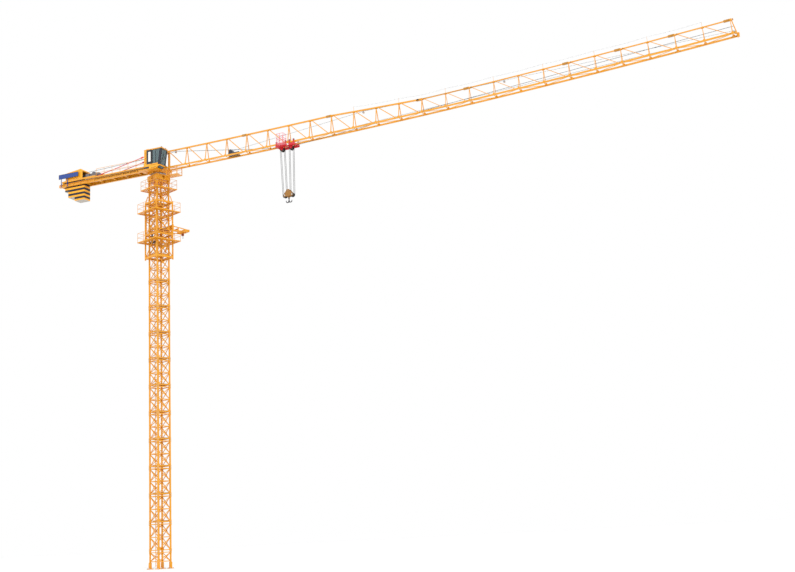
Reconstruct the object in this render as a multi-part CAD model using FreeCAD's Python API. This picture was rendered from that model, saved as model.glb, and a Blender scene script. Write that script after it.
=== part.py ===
"""Flat-top tower crane, a model at 1:2 of the real machine.

Millimetres of the model, +Z up.  The origin is on the ground in the middle of the mast,
and +X runs along the jib.  The mast and its climbing cage stand turned about Z.

The bottom chords of the jib lie on a shallow arc with a far centre above it, which is the
built-in bow of an unloaded jib.  rail_point() gives every place along that arc.
"""
import FreeCAD, Part
import os
from math import ceil, cos, degrees, sin, sqrt
from FreeCAD import Rotation, Vector

# ---- fits ----
SEAT_GAP = 0.3            # between two pieces that rest on each other
BEARING_GAP = 0.5         # between the two slewing rings
BORE_GAP = 0.3            # round a pin, in the hole of a wheel or sheave

# ---- mast ----
TOWER_TURN = -21.0        # degrees about Z, the mast against the jib at rest
LEG_PITCH = 732.5         # leg centre to leg centre
LEG_SIZE = 67.5
COLLAR_STAND = 9.0        # how far a collar stands out from its leg
COLLAR_HEIGHT = 120.0
SECTION_HEIGHT = 1400.0
SECTION_COUNT = 14
SECTIONS_PER_NODE = 2
RUNG_SIZE = 42.0          # the horizontal bars
BRACE_SIZE = 30.0         # the crossed bars
BASE_HEIGHT = 873.0
MAST_TOP_Z = BASE_HEIGHT + SECTION_COUNT * SECTION_HEIGHT
FOOT_SIZE = 260.0
FOOT_THICKNESS = 40.0
FOOT_POST_SIZE = 115.0
FOOT_POST_HEIGHT = 330.0

# ---- climbing cage ----
CAGE_STAND_OFF = 297.5    # how much wider the cage is than the mast, post centre to post centre
CAGE_PITCH = LEG_PITCH + CAGE_STAND_OFF
CAGE_POST = 60.0
CAGE_FOOT_Z = MAST_TOP_Z - 4393.0
CAGE_HEAD_Z = MAST_TOP_Z - 1183.0
CAGE_RINGS_Z = (MAST_TOP_Z - 4273.0, MAST_TOP_Z - 3023.0, MAST_TOP_Z - 1233.0)
CAGE_RING_HEIGHT = 90.0
CAGE_BRACE = 32.0
SHOULDER_RISE = 350.0
SHOULDER_THICKNESS = 40.0
SHOE_WIDTH = 50.0
LOADING_SIDE = 1          # the side that mast sections come in through

# ---- platforms ----
PLATFORM_LOWER_Z = MAST_TOP_Z - 3373.0
PLATFORM_UPPER_Z = MAST_TOP_Z - 1753.0
PLATFORM_TOP_Z = MAST_TOP_Z - 473.0
CAGE_PLATFORM_SIZE = CAGE_PITCH + 620.0
TOP_PLATFORM_SIZE = LEG_PITCH + 667.5
PLATFORM_EDGE = 45.0
PLATFORM_PLATE = 12.0
PLATFORM_FRAME = 40.0
RAILING_HEIGHT = 500.0
RAILING_BAR = 14.0
RAILING_SPACING = 560.0   # most that two railing posts stand apart

# ---- loading beam and climbing cylinder ----
LOADING_Z = MAST_TOP_Z - 2723.0
LOADING_ROOT_HEIGHT = 290.0
LOADING_TIP_HEIGHT = 110.0
LOADING_REACH = 1190.0    # beyond the cage posts
LOADING_SPREAD = 640.0    # between the two side plates
LOADING_PLATE = 40.0
LOADING_CHORD = 42.0      # height of the rims round the side plates' windows
LOADING_WINDOWS = ((0.08, 0.38), (0.42, 0.72))  # shares of the reach
CYLINDER_RADIUS = 38.0
CROSSHEAD_LENGTH = 560.0
CROSSHEAD_HEIGHT = 80.0
CROSSHEAD_WIDTH = 60.0
CYLINDER_LEAST = 300.0    # least height from the crosshead up to the ring

# ---- slewing ----
SUPPORT_SIZE = LEG_PITCH + 147.5
SUPPORT_HEIGHT = 300.0
SUPPORT_HOLE_RADIUS = 85.0
RING_OUTER_RADIUS = 430.0
RING_SPLIT_RADIUS = 350.0
RING_INNER_RADIUS = 280.0
RING_HEIGHT = 90.0
RING_LIFT = 5.0           # the turning ring stands this much above the fixed one
TURNTABLE_HEIGHT = 222.0
RING_TOP_Z = MAST_TOP_Z + SUPPORT_HEIGHT + RING_HEIGHT + RING_LIFT
TURNTABLE_TOP_Z = RING_TOP_Z + TURNTABLE_HEIGHT
TURNTABLE_LENGTH = 1130.0
TURNTABLE_WIDTH = 780.0
TURNTABLE_NECK = 900.0

# ---- tower head ----
HEAD_FRONT_X = 520.0
HEAD_REAR_X = -330.0
HEAD_POST = 90.0
HEAD_REAR_PITCH = 620.0
HEAD_BEAM = 80.0
HEAD_REAR_DROP = 70.0     # the rear cross beam sits this much lower than the front one

# ---- jib ----
JIB_BOW_RADIUS = 453500.0
JIB_AXIS_Z = TURNTABLE_TOP_Z - 5.0  # bottom chord axis at the slewing axis
CHORD_PITCH = 454.5
CHORD_SIZE = 70.0
POST_SIZE = 34.0
DIAGONAL_SIZE = 40.0
CROSS_SIZE = 30.0
LACING_SIZE = 20.0
WEB_INSET = 20.0          # the web bars land this much inside the chord's middle
FIRST_NODE = 1830.0
BAY = 1250.0
NODE_COUNT = 24
SECTION_ENDS = (3, 7, 11, 13, 17, 19, 21, 23)
DEEP_DEPTH = 1000.0
SLIM_DEPTH = 750.0
TAPER_FROM_NODE = 7
TAPER_TO_NODE = 11
SLIM_FROM_SECTION = 3     # sections from this one on, counted from 0, are built lighter
SLIM_TOP_CHORD = 50.0
SLIM_POST = 24.0
SLIM_DIAGONAL = 26.0
DIAGONAL_TOP_OFFSET = 90.0
DIAGONAL_FOOT_OFFSET = 130.0
LUG_LENGTH = 340.0
LUG_HEIGHT = 100.0
LUG_STAND = 16.0          # how much wider the lug is than the chord
CHORD_OVERRUN = 5.0       # drawn past each end, then trimmed to the radial plane
TIP_REACH = 150.0         # the bottom chords run this far beyond the last node
TIP_PLATE = 40.0
TIP_PLATE_HEIGHT = 120.0
TIP_BLOCK = 60.0
TIP_POST_SIZE = 45.0
ROLLER_NODES = (0, 9, 15)  # the rope rollers hang a little way inboard of these
ROLLER_OFFSET = 720.0
ROLLER_DROP = 130.0
ROLLER_RADIUS = 45.0
ROLLER_WIDTH = 60.0
ROLLER_HANGER = 24.0

# ---- counter jib ----
GIRDER_PITCH = 550.0
GIRDER_DEPTH = 180.0
GIRDER_FLANGE = 110.0
GIRDER_PLATE = 14.0
COUNTER_END_X = -6430.0
CROSS_MEMBER_SPACING = 950.0
DECK_THICKNESS = 20.0
SLAB_COUNT = 6
SLAB_THICKNESS = 215.0
SLAB_PITCH = 221.0
SLAB_WIDTH = 520.0
SLAB_NECK = 300.0
SLAB_TOP_Z = TURNTABLE_TOP_Z - 35.0
SLAB_INNER_X = -4775.0
SLAB_HOOK_HEIGHT = 50.0
SLAB_HOOK_LENGTH = 660.0
SLAB_HEIGHTS = (850.0, 850.0, 850.0, 612.0, 612.0, 240.0)
TIE_RADIUS = 19.0
TIE_FOOT_X = -3850.0
TIE_LUG_LENGTH = 140.0
TIE_LUG_HEIGHT = 90.0

# ---- winch on the counter jib ----
WINCH_INNER_X = -3950.0
WINCH_OUTER_X = -6050.0
WINCH_BEAM_Z = TURNTABLE_TOP_Z + GIRDER_DEPTH + 60.0
WINCH_FOOT_LENGTH = 120.0
WINCH_BEAM_HEIGHT = 90.0
WINCH_WIDTH = 700.0
DRUM_X = -5150.0
DRUM_RADIUS = 150.0
DRUM_FLANGE_RADIUS = 190.0
DRUM_LENGTH = 420.0
DRUM_LIFT = 210.0
DRUM_SHAFT_RADIUS = 25.0
MOTOR_RADIUS = 120.0
MOTOR_LENGTH = 560.0
HOUSING_LENGTH = 1000.0
HOUSING_TOP_Z = WINCH_BEAM_Z + 660.0
SIGN_LENGTH = 1320.0
SIGN_HEIGHT = 250.0
SIGN_FOOT_Z = TURNTABLE_TOP_Z + GIRDER_DEPTH + 290.0
SIGN_THICKNESS = 12.0

# ---- cab ----
CAB_REAR_X = -265.0
CAB_FLOOR_FRONT_X = 500.0
CAB_CHIN_X = 700.0
CAB_ROOF_FRONT_X = 840.0
CAB_NEAR_Y = -975.0
CAB_FAR_Y = -400.0
CAB_FLOOR_Z = TURNTABLE_TOP_Z - 145.0
CAB_CHIN_Z = CAB_FLOOR_Z + 105.0
CAB_ROOF_Z = CAB_FLOOR_Z + 1070.0
CAB_WALL = 28.0
CAB_PILLAR = 60.0
GLASS_THICKNESS = 10.0
CAB_PANEL_LENGTH = 390.0  # the closed rear part of each side
CAB_PLATFORM_REAR_X = -640.0
CAB_PLATFORM_THICKNESS = 36.0
CAB_RIB_DROP = 35.0
FRONT_PLATFORM_Z = TURNTABLE_TOP_Z - 455.0
FRONT_PLATFORM_CLEARANCE = 18.0  # from the corners of the slewing support as the crane turns
FRONT_PLATFORM_LENGTH = 700.0
FRONT_PLATFORM_WIDTH = 500.0
FRONT_PLATFORM_RAIL = 330.0

# ---- trolley, ropes and hook ----
TROLLEY_S = 7950.0        # arc length from the slewing axis at rest
TROLLEY_PLATE = 12.0
TROLLEY_SIDE_GAP = 13.0   # from a bottom chord to a side plate
TROLLEY_FRAMES = ((-560.0, 90.0), (200.0, 560.0))
AXLE_INSET = 60.0
WHEEL_RADIUS = 55.0
WHEEL_WIDTH = 28.0
WHEEL_GAP = 0.8           # above the rail, so that it clears the straight chord pieces
AXLE_RADIUS = 12.0
FRAME_TOP = -60.0         # heights from the bottom chord axis
FRAME_BOTTOM = -190.0
UPPER_SHEAVE_RADIUS = 105.0
SHEAVE_AXLE_DROP = UPPER_SHEAVE_RADIUS + 155.0
FRAME_BAR_DROP = 120.0    # the cross bars of the trolley's frames
UPPER_SHEAVES_X = (-290.0, 235.0)
SHEAVE_Y = 60.0
SHEAVE_WIDTH = 34.0
ROPE_RADIUS = 10.0
LOWER_SHEAVE_RADIUS = 95.0
LOWER_SHEAVE_PITCH = 420.0
ROPE_DROP = 2700.0        # the lower sheaves below the bottom chord axis
LOWER_SHEAVE_Z = JIB_AXIS_Z - ROPE_DROP
BLOCK_APEX_Z = LOWER_SHEAVE_Z + 305.0
BLOCK_PLATE = 14.0
SWIVEL_Z = LOWER_SHEAVE_Z - 145.0
SWIVEL_RADIUS = 45.0
HOOK_STEM_RADIUS = 22.0
HOOK_RADIUS = 95.0
HOOK_THICKNESS = 42.0
HOOK_BOTTOM_Z = LOWER_SHEAVE_Z - 420.0
BASKET_LENGTH = 430.0
BASKET_WIDTH = 330.0
BASKET_START = -320.0
BASKET_FLOOR = -110.0
BASKET_HEIGHT = 540.0

X_AXIS = Vector(1, 0, 0)
Y_AXIS = Vector(0, 1, 0)
Z_AXIS = Vector(0, 0, 1)


# ---- shapes ----
def box(x0, x1, y0, y1, z0, z1):
    """A box between two corners."""
    return Part.makeBox(x1 - x0, y1 - y0, z1 - z0, Vector(x0, y0, z0))


def bar(start, end, width, height=None, up=Z_AXIS):
    """A straight bar of rectangular section; height is measured along up."""
    height = height or width
    along = end - start
    if abs(along.normalize().dot(up)) > 0.99:
        up = X_AXIS
    length = (end - start).Length
    shape = Part.makeBox(length, width, height, Vector(0, -width / 2, -height / 2))
    shape.Placement = FreeCAD.Placement(start, Rotation(along, Vector(), up, "XZY"))
    return shape


def rod(start, end, radius):
    """A round bar."""
    return Part.makeCylinder(radius, (end - start).Length, start, end - start)


def disc(centre, radius, width, bore=0.0):
    """A disc about a Y axis, with an optional bore."""
    foot = centre - Y_AXIS * (width / 2)
    shape = Part.makeCylinder(radius, width, foot, Y_AXIS)
    return shape.cut(Part.makeCylinder(bore, width, foot, Y_AXIS)) if bore else shape


def prism(points, direction):
    """A flat outline carried along a vector."""
    return Part.Face(Part.makePolygon(points + [points[0]])).extrude(direction)


def fuse(shapes):
    """One shape from several that overlap."""
    return shapes[0].multiFuse(shapes[1:]).removeSplitter() if len(shapes) > 1 else shapes[0]


def solids_of(shapes):
    """All the solids of several shapes, as one flat list."""
    return [solid for shape in shapes for solid in shape.Solids]


def turned(shape, angle):
    """A copy turned about Z through the origin."""
    copy = shape.copy()
    copy.rotate(Vector(), Z_AXIS, angle)
    return copy


def write(name, shapes, angle=0.0):
    """Write the solids of a node to its own file."""
    solids = solids_of([turned(shape, angle) if angle else shape for shape in shapes])
    (solids[0] if len(solids) == 1 else Part.makeCompound(solids)).exportStep(f"parts/{name}.step")


# ---- the four alike sides of a square tower ----
def mast_half(z):
    """Half the mast's outer width at a height, with its collars."""
    from_joint = (z - BASE_HEIGHT) % SECTION_HEIGHT
    in_collar = min(from_joint, SECTION_HEIGHT - from_joint) < COLLAR_HEIGHT
    return (LEG_PITCH + LEG_SIZE) / 2 + (COLLAR_STAND if in_collar else 0.0)


def crossed(x, half, z0, z1, size):
    """Two crossed bars in the plane at x."""
    corners = [(-half, z0, half, z1), (-half, z1, half, z0)]
    return [bar(Vector(x, a, b), Vector(x, c, d), size, size, X_AXIS) for a, b, c, d in corners]


def tower_side(post_shapes, brace_shapes, pitch, post_size, neighbours=()):
    """One corner post with the bracing of the face beyond it, stopping at the next post."""
    half = pitch / 2
    reach = half - post_size / 2 - SEAT_GAP
    tall = 30000.0
    keep = box(-tall, tall, -half, reach, 0, tall)
    braces = fuse(brace_shapes).common(keep)
    for neighbour in neighbours:
        braces = braces.cut(neighbour)
    return fuse(post_shapes + solids_of([braces]))


def square_post(half, size, z0, z1, side=-1):
    """A square post at the corner x = half, y = side * half."""
    y = side * half
    return box(half - size / 2, half + size / 2, y - size / 2, y + size / 2, z0, z1)


def mast_side(z0, height, rungs, bays):
    """One side of a mast section from z0 up."""
    half = LEG_PITCH / 2
    top = z0 + height
    collar = LEG_SIZE + 2 * COLLAR_STAND
    collar_spans = [(z0, z0 + COLLAR_HEIGHT), (top - COLLAR_HEIGHT, top)]
    posts = [square_post(half, LEG_SIZE, z0, top)]
    posts += [square_post(half, collar, low, high) for low, high in collar_spans]
    braces = [bar(Vector(half, -half, z), Vector(half, half, z), RUNG_SIZE) for z in rungs]
    for low, high in bays:
        braces += crossed(half, half, low, high, BRACE_SIZE)
    neighbours = [square_post(half, collar + 2 * SEAT_GAP, low, high, 1) for low, high in collar_spans]
    return tower_side(posts, braces, LEG_PITCH, LEG_SIZE, neighbours)


def mast_section():
    """The four sides of one section, standing on z = 0 of the section."""
    z0 = BASE_HEIGHT
    middle = z0 + SECTION_HEIGHT / 2
    low = z0 + COLLAR_HEIGHT / 2
    high = z0 + SECTION_HEIGHT - COLLAR_HEIGHT / 2
    side = mast_side(z0, SECTION_HEIGHT, (low, middle, high), ((low, middle), (middle, high)))
    return [turned(side, 90 * k) for k in range(4)]


def base_sides():
    """The half section that stands on the feet."""
    half = LEG_PITCH / 2
    z0 = FOOT_THICKNESS
    rung_low = FOOT_POST_HEIGHT + RUNG_SIZE
    rung_high = BASE_HEIGHT - COLLAR_HEIGHT / 2
    post = square_post(half, FOOT_POST_SIZE, z0, FOOT_POST_HEIGHT)
    collar = LEG_SIZE + 2 * COLLAR_STAND
    top_span = (BASE_HEIGHT - COLLAR_HEIGHT, BASE_HEIGHT)
    posts = [square_post(half, LEG_SIZE, z0, BASE_HEIGHT), post, square_post(half, collar, *top_span)]
    braces = [bar(Vector(half, -half, z), Vector(half, half, z), RUNG_SIZE) for z in (rung_low, rung_high)]
    braces += crossed(half, half, rung_low, rung_high, BRACE_SIZE)
    neighbour = square_post(half, collar + 2 * SEAT_GAP, *top_span, 1)
    side = tower_side(posts, braces, LEG_PITCH, LEG_SIZE, [neighbour])
    return [turned(side, 90 * k) for k in range(4)]


def foot_plates():
    """Four flared feet under the legs."""
    half = LEG_PITCH / 2
    low = FOOT_SIZE / 2
    high = FOOT_POST_SIZE / 2 + 20
    feet = []
    for x, y in ((half, -half), (half, half), (-half, half), (-half, -half)):
        outlines = []
        for size, z in ((low, 0.0), (high, FOOT_THICKNESS)):
            corners = [Vector(x + a * size, y + b * size, z) for a, b in ((-1, -1), (1, -1), (1, 1), (-1, 1))]
            outlines.append(Part.makePolygon(corners + [corners[0]]))
        feet.append(Part.makeLoft(outlines, True, True))
    return feet


# ---- climbing cage ----
def cage_shoes(half, z):
    """Guide shoes from a ring beam to the mast's legs."""
    tip = mast_half(z) + SEAT_GAP
    level = CAGE_RING_HEIGHT / 2 - 5
    legs = (-LEG_PITCH / 2, LEG_PITCH / 2)
    return [box(tip, half, y - SHOE_WIDTH / 2, y + SHOE_WIDTH / 2, z - level, z + level) for y in legs]


def cage_side(k):
    """One side of the cage; the loading side is open in its upper part."""
    half = CAGE_PITCH / 2
    bottom, middle, top = CAGE_RINGS_Z
    shoulder_foot = Vector(half, -half, CAGE_HEAD_Z - 30)
    corner = mast_half(CAGE_HEAD_Z + SHOULDER_RISE) + SHOULDER_THICKNESS / 2
    shoulder_head = Vector(corner, -corner, CAGE_HEAD_Z + SHOULDER_RISE)
    outward = Vector(1, -1, 0)
    posts = [square_post(half, CAGE_POST, CAGE_FOOT_Z, CAGE_HEAD_Z),
             bar(shoulder_foot, shoulder_head, CAGE_POST, SHOULDER_THICKNESS, outward)]
    braces = []
    for z in CAGE_RINGS_Z:
        braces.append(bar(Vector(half, -half, z), Vector(half, half, z), CAGE_POST, CAGE_RING_HEIGHT))
        braces += cage_shoes(half, z)
    braces += crossed(half, half, bottom, middle, CAGE_BRACE)
    if k != LOADING_SIDE:
        waist = (middle + top) / 2
        braces.append(bar(Vector(half, -half, waist), Vector(half, half, waist), CAGE_BRACE))
        braces += crossed(half, half, middle, waist, CAGE_BRACE)
        braces += crossed(half, half, waist, top, CAGE_BRACE)
    neighbour = bar(Vector(half, half, CAGE_HEAD_Z - 30), Vector(corner, corner, CAGE_HEAD_Z + SHOULDER_RISE),
                    CAGE_POST + 2 * SEAT_GAP, SHOULDER_THICKNESS + 2 * SEAT_GAP, Vector(1, 1, 0))
    side = tower_side(posts, braces, CAGE_PITCH, CAGE_POST, [neighbour])
    return turned(side, 90 * k)


def platform(size, hole, z):
    """A square walkway round the mast, its deck at z, with an edge frame."""
    outer = box(-size / 2, size / 2, -size / 2, size / 2, z - PLATFORM_EDGE, z)
    pocket = size / 2 - PLATFORM_FRAME
    hole_frame = hole / 2 + PLATFORM_FRAME
    pocket_top = z - PLATFORM_PLATE
    recess = box(-pocket, pocket, -pocket, pocket, z - PLATFORM_EDGE, pocket_top)
    recess = recess.cut(box(-hole_frame, hole_frame, -hole_frame, hole_frame, z - PLATFORM_EDGE, pocket_top))
    opening = box(-hole / 2, hole / 2, -hole / 2, hole / 2, z - PLATFORM_EDGE, z)
    return outer.cut(recess).cut(opening)


def railing_run(start, end, last_post=True, height=RAILING_HEIGHT):
    """Posts and two rails between two points on a deck, without the last post where another run begins there."""
    along = (end - start).normalize()
    count = max(1, ceil((end - start).Length / RAILING_SPACING))
    lift = Vector(0, 0, height - RAILING_BAR / 2)
    rail_end = end if last_post else end - along * (RAILING_BAR / 2 + SEAT_GAP)
    rail_start = start if last_post else start + along * (RAILING_BAR / 2 - 1)
    shapes = [bar(rail_start + lift * level, rail_end + lift * level, RAILING_BAR) for level in (0.5, 1.0)]
    for i in range(count + 1 if last_post else count):
        foot = start + (end - start) * (i / count)
        shapes.append(bar(foot, foot + lift + Vector(0, 0, RAILING_BAR / 2), RAILING_BAR))
    return fuse(shapes)


def railing_loop(size, z):
    """Four runs of railing round the edge of a square platform."""
    half = size / 2 - RAILING_BAR
    corners = [Vector(half, -half, z), Vector(half, half, z), Vector(-half, half, z), Vector(-half, -half, z)]
    return [railing_run(corners[k], corners[(k + 1) % 4], False) for k in range(4)]


def loading_beam():
    """Two tapered side plates with cross tubes, standing out from the loading side."""
    root = (CAGE_PITCH + CAGE_POST) / 2 + SEAT_GAP
    tip = root + LOADING_REACH
    top = LOADING_Z + LOADING_ROOT_HEIGHT
    root_plate = box(root, root + 50, -CAGE_PITCH / 2, CAGE_PITCH / 2, LOADING_Z, top)
    shapes = [root_plate]
    low = LOADING_Z + (LOADING_ROOT_HEIGHT - LOADING_TIP_HEIGHT) / 2
    for side in (-1, 1):
        y = side * LOADING_SPREAD / 2 - LOADING_PLATE / 2
        outline = [Vector(root, y, LOADING_Z), Vector(tip, y, low), Vector(tip, y, low + LOADING_TIP_HEIGHT),
                   Vector(root, y, top)]
        plate = prism(outline, Y_AXIS * LOADING_PLATE)
        for window in LOADING_WINDOWS:
            corners = []
            for part, share in ((0, window[0]), (0, window[1]), (1, window[1]), (1, window[0])):
                foot = LOADING_Z + (low - LOADING_Z) * share + LOADING_CHORD
                head = top - (top - low - LOADING_TIP_HEIGHT) * share - LOADING_CHORD
                corners.append(Vector(root + LOADING_REACH * share, y - 1, head if part else foot))
            plate = plate.cut(prism(corners, Y_AXIS * (LOADING_PLATE + 2)))
        shapes.append(plate)
    middle = LOADING_Z + LOADING_ROOT_HEIGHT / 2
    for part in (0.4, 0.75):
        x = root + LOADING_REACH * part
        half = LOADING_SPREAD / 2
        shapes.append(bar(Vector(x, -half, middle), Vector(x, half, middle), 50))
    half = LOADING_SPREAD / 2 + 40
    shapes.append(box(tip - 90, tip, -half, half, low - 10, low + LOADING_TIP_HEIGHT + 10))
    return turned(fuse(shapes), 90 * LOADING_SIDE)


def climbing_cylinder():
    """The jack between the cage's middle ring and a crosshead on a rung of the mast."""
    ring_face = (CAGE_PITCH - CAGE_POST) / 2 - SEAT_GAP
    rung_face = (LEG_PITCH + RUNG_SIZE) / 2 + SEAT_GAP
    ring_z = CAGE_RINGS_Z[1]
    sections_below = int((ring_z - CYLINDER_LEAST - BASE_HEIGHT) / SECTION_HEIGHT - 0.5)
    rung_z = BASE_HEIGHT + SECTION_HEIGHT * (sections_below + 0.5)
    x = (ring_face + rung_face) / 2
    crosshead = box(rung_face, rung_face + CROSSHEAD_WIDTH, -CROSSHEAD_LENGTH / 2, CROSSHEAD_LENGTH / 2,
                    rung_z - CROSSHEAD_HEIGHT / 2, rung_z + CROSSHEAD_HEIGHT / 2)
    jack = rod(Vector(x, 0, rung_z), Vector(x, 0, ring_z), CYLINDER_RADIUS)
    head = box(x - CYLINDER_RADIUS, ring_face, -60, 60, ring_z - 30, ring_z + 30)
    return turned(fuse([crosshead, jack, head]), 90 * (LOADING_SIDE + 2))


# ---- slewing ----
def slewing_support():
    """The plated box on the mast, with a round hole through each pair of faces."""
    z0 = MAST_TOP_Z
    half = SUPPORT_SIZE / 2
    shape = box(-half, half, -half, half, z0, z0 + SUPPORT_HEIGHT)
    z = z0 + SUPPORT_HEIGHT / 2
    across = Part.makeCylinder(SUPPORT_HOLE_RADIUS, SUPPORT_SIZE, Vector(-half, 0, z), X_AXIS)
    along = Part.makeCylinder(SUPPORT_HOLE_RADIUS, SUPPORT_SIZE, Vector(0, -half, z), Y_AXIS)
    return shape.cut(across).cut(along)


def ring(outer, inner, z0, z1):
    """A flat ring about the slewing axis."""
    foot = Vector(0, 0, z0)
    return Part.makeCylinder(outer, z1 - z0, foot).cut(Part.makeCylinder(inner, z1 - z0, foot))


def slewing_rings():
    """The fixed outer ring and the turning inner ring with its flange above."""
    z0 = MAST_TOP_Z + SUPPORT_HEIGHT
    fixed = ring(RING_OUTER_RADIUS, RING_SPLIT_RADIUS, z0, z0 + RING_HEIGHT)
    split = RING_SPLIT_RADIUS - BEARING_GAP
    turning = ring(split, RING_INNER_RADIUS, z0 + RING_LIFT, RING_TOP_Z)
    return fixed, turning


def turntable():
    """A plated block, narrow at the ring and wide under the tower head."""
    z0 = RING_TOP_Z
    outlines = []
    for length, width, z in ((TURNTABLE_NECK, TURNTABLE_WIDTH, z0), (TURNTABLE_LENGTH, TURNTABLE_WIDTH,
                                                                    TURNTABLE_TOP_Z)):
        a, b = length / 2, width / 2
        corners = [Vector(-a, -b, z), Vector(a, -b, z), Vector(a, b, z), Vector(-a, b, z)]
        outlines.append(Part.makePolygon(corners + [corners[0]]))
    return Part.makeLoft(outlines, True, True)


def tower_head():
    """Four posts on the turntable with cross beams that carry the jib and the ties."""
    front_top = JIB_AXIS_Z + DEEP_DEPTH + CHORD_SIZE / 2
    rear_top = front_top - HEAD_REAR_DROP
    z0 = TURNTABLE_TOP_Z
    shapes = []
    front = [Vector(HEAD_FRONT_X, side * CHORD_PITCH / 2, z0) for side in (-1, 1)]
    rear = [Vector(HEAD_REAR_X, side * HEAD_REAR_PITCH / 2, z0) for side in (-1, 1)]
    for feet, top in ((front, front_top), (rear, rear_top)):
        heads = [Vector(foot.x, foot.y, top - HEAD_BEAM / 2) for foot in feet]
        for foot in feet:
            shapes.append(bar(foot, Vector(foot.x, foot.y, top), HEAD_POST))
        shapes.append(bar(heads[0], heads[1], HEAD_BEAM))
    for a, b in zip(front, rear):
        a_top = Vector(a.x, a.y, front_top - HEAD_BEAM / 2)
        b_top = Vector(b.x, b.y, rear_top - HEAD_BEAM / 2)
        shapes.append(bar(a_top, b_top, HEAD_BEAM * 0.8))
        shapes.append(bar(a + Vector(0, 0, HEAD_POST / 2), b_top, HEAD_POST * 0.6))
    return fuse(shapes)


# ---- jib ----
def rail_point(s, y=0.0, height=0.0):
    """The point at arc length s along the bowed jib, height above its bottom chord axis."""
    angle = s / JIB_BOW_RADIUS
    radius = JIB_BOW_RADIUS - height
    return Vector(radius * sin(angle), y, JIB_AXIS_Z + JIB_BOW_RADIUS - radius * cos(angle))


def node_s(i):
    """Arc length of jib node i."""
    return FIRST_NODE + BAY * i


def depth_at(s):
    """Chord axis to chord axis: deep at the root, tapering to the slim outer part."""
    start, end = node_s(TAPER_FROM_NODE), node_s(TAPER_TO_NODE)
    part = min(1.0, max(0.0, (s - start) / (end - start)))
    return DEEP_DEPTH + (SLIM_DEPTH - DEEP_DEPTH) * part


def jib_slice(s0, s1):
    """The space between two radial planes of the bow, which trims the ends of chords square to it."""
    side, low, high = -2000.0, -500.0, 1600.0
    corners = [rail_point(s0, side, low), rail_point(s1, side, low), rail_point(s1, side, high),
               rail_point(s0, side, high)]
    return prism(corners, Y_AXIS * (-2 * side))


def chord(stations, y, height_of=lambda s: 0.0, size=CHORD_SIZE):
    """A box chord through the given stations, one straight piece per bay."""
    reach = [stations[0] - CHORD_OVERRUN] + stations[1:-1] + [stations[-1] + CHORD_OVERRUN]
    points = [rail_point(s, y, height_of(s)) for s in reach]
    keep = jib_slice(stations[0], stations[-1])
    return [bar(a, b, size).common(keep) for a, b in zip(points, points[1:])]


def jib_posts(stations, side, size=POST_SIZE):
    """The posts of one side, from the bottom chord up to the top one."""
    y = side * (CHORD_PITCH / 2 - WEB_INSET)
    return [bar(rail_point(s, y), rail_point(s, 0, depth_at(s)), size, size, Y_AXIS) for s in stations]


def jib_diagonals(stations, size=DIAGONAL_SIZE):
    """On the cab's side, from each top node out and down to the bottom chord short of the next post."""
    shapes = []
    for a, b in zip(stations, stations[1:]):
        top = rail_point(a + DIAGONAL_TOP_OFFSET, 0, depth_at(a))
        foot = rail_point(b - DIAGONAL_FOOT_OFFSET, WEB_INSET - CHORD_PITCH / 2)
        shapes.append(bar(top, foot, size, size, Y_AXIS))
    return shapes


def rope_roller(s):
    """A roller on a hanger under the top chord."""
    top = rail_point(s, 0, depth_at(s))
    foot = rail_point(s, 0, depth_at(s) - ROLLER_DROP)
    return [bar(top, foot, ROLLER_HANGER), disc(foot, ROLLER_RADIUS, ROLLER_WIDTH)]


def jib_section(index):
    """One section as three separate parts: the cab's side with the top chord, the other side, the floor."""
    previous = SECTION_ENDS[index - 1] if index else -1
    start = node_s(previous) if index else HEAD_FRONT_X + HEAD_POST / 2 + SEAT_GAP
    nodes = [node_s(i) for i in range(previous + 1, SECTION_ENDS[index] + 1)]
    end = nodes[-1]
    is_last = index == len(SECTION_ENDS) - 1
    gap = 0.0 if is_last else SEAT_GAP
    slim = index >= SLIM_FROM_SECTION
    top_size = SLIM_TOP_CHORD if slim else CHORD_SIZE
    post_size = SLIM_POST if slim else POST_SIZE
    diagonal_size = SLIM_DIAGONAL if slim else DIAGONAL_SIZE
    top_stations = [start] + nodes[:-1] + [end - gap]
    bottom_stations = [start] + nodes + [end + TIP_REACH] if is_last else top_stations
    posts = nodes[:-1] + [end - gap - post_size / 2]
    half = CHORD_PITCH / 2

    near = chord(top_stations, 0, depth_at, top_size) + chord(bottom_stations, -half)
    near += jib_posts(posts, -1, post_size) + jib_diagonals([start] + nodes, diagonal_size)
    near += [piece for i in ROLLER_NODES if start < node_s(i) - ROLLER_OFFSET < end
             for piece in rope_roller(node_s(i) - ROLLER_OFFSET)]
    lug_end = end - gap
    lug = bar(rail_point(lug_end - LUG_LENGTH / 2, 0, depth_at(lug_end)),
              rail_point(lug_end + CHORD_OVERRUN, 0, depth_at(lug_end)), top_size + LUG_STAND, LUG_HEIGHT)
    near.append(lug.common(jib_slice(start, lug_end)))

    far_shape = fuse(chord(bottom_stations, half) + jib_posts(posts, 1, post_size))
    top_clear = [bar(a, b, top_size + 2 * SEAT_GAP) for a, b in chord_pairs(top_stations)]
    for cutter in top_clear + [grown(post, SEAT_GAP) for post in jib_posts(posts, -1, post_size)]:
        far_shape = far_shape.cut(cutter)
    far_shape = max(far_shape.Solids, key=lambda solid: solid.Volume)

    inner = half - CHORD_SIZE / 2 - SEAT_GAP
    floor = [bar(rail_point(s, -inner), rail_point(s, inner), CROSS_SIZE) for s in posts]
    zigzag = [start + CROSS_SIZE] + posts
    for k, (a, b) in enumerate(zip(zigzag, zigzag[1:])):
        y = (inner - LACING_SIZE * 0.75) * (1 if k % 2 else -1)
        floor.append(bar(rail_point(a, y), rail_point(b, -y), LACING_SIZE))
    return [fuse(near), far_shape, fuse(floor)]


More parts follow.
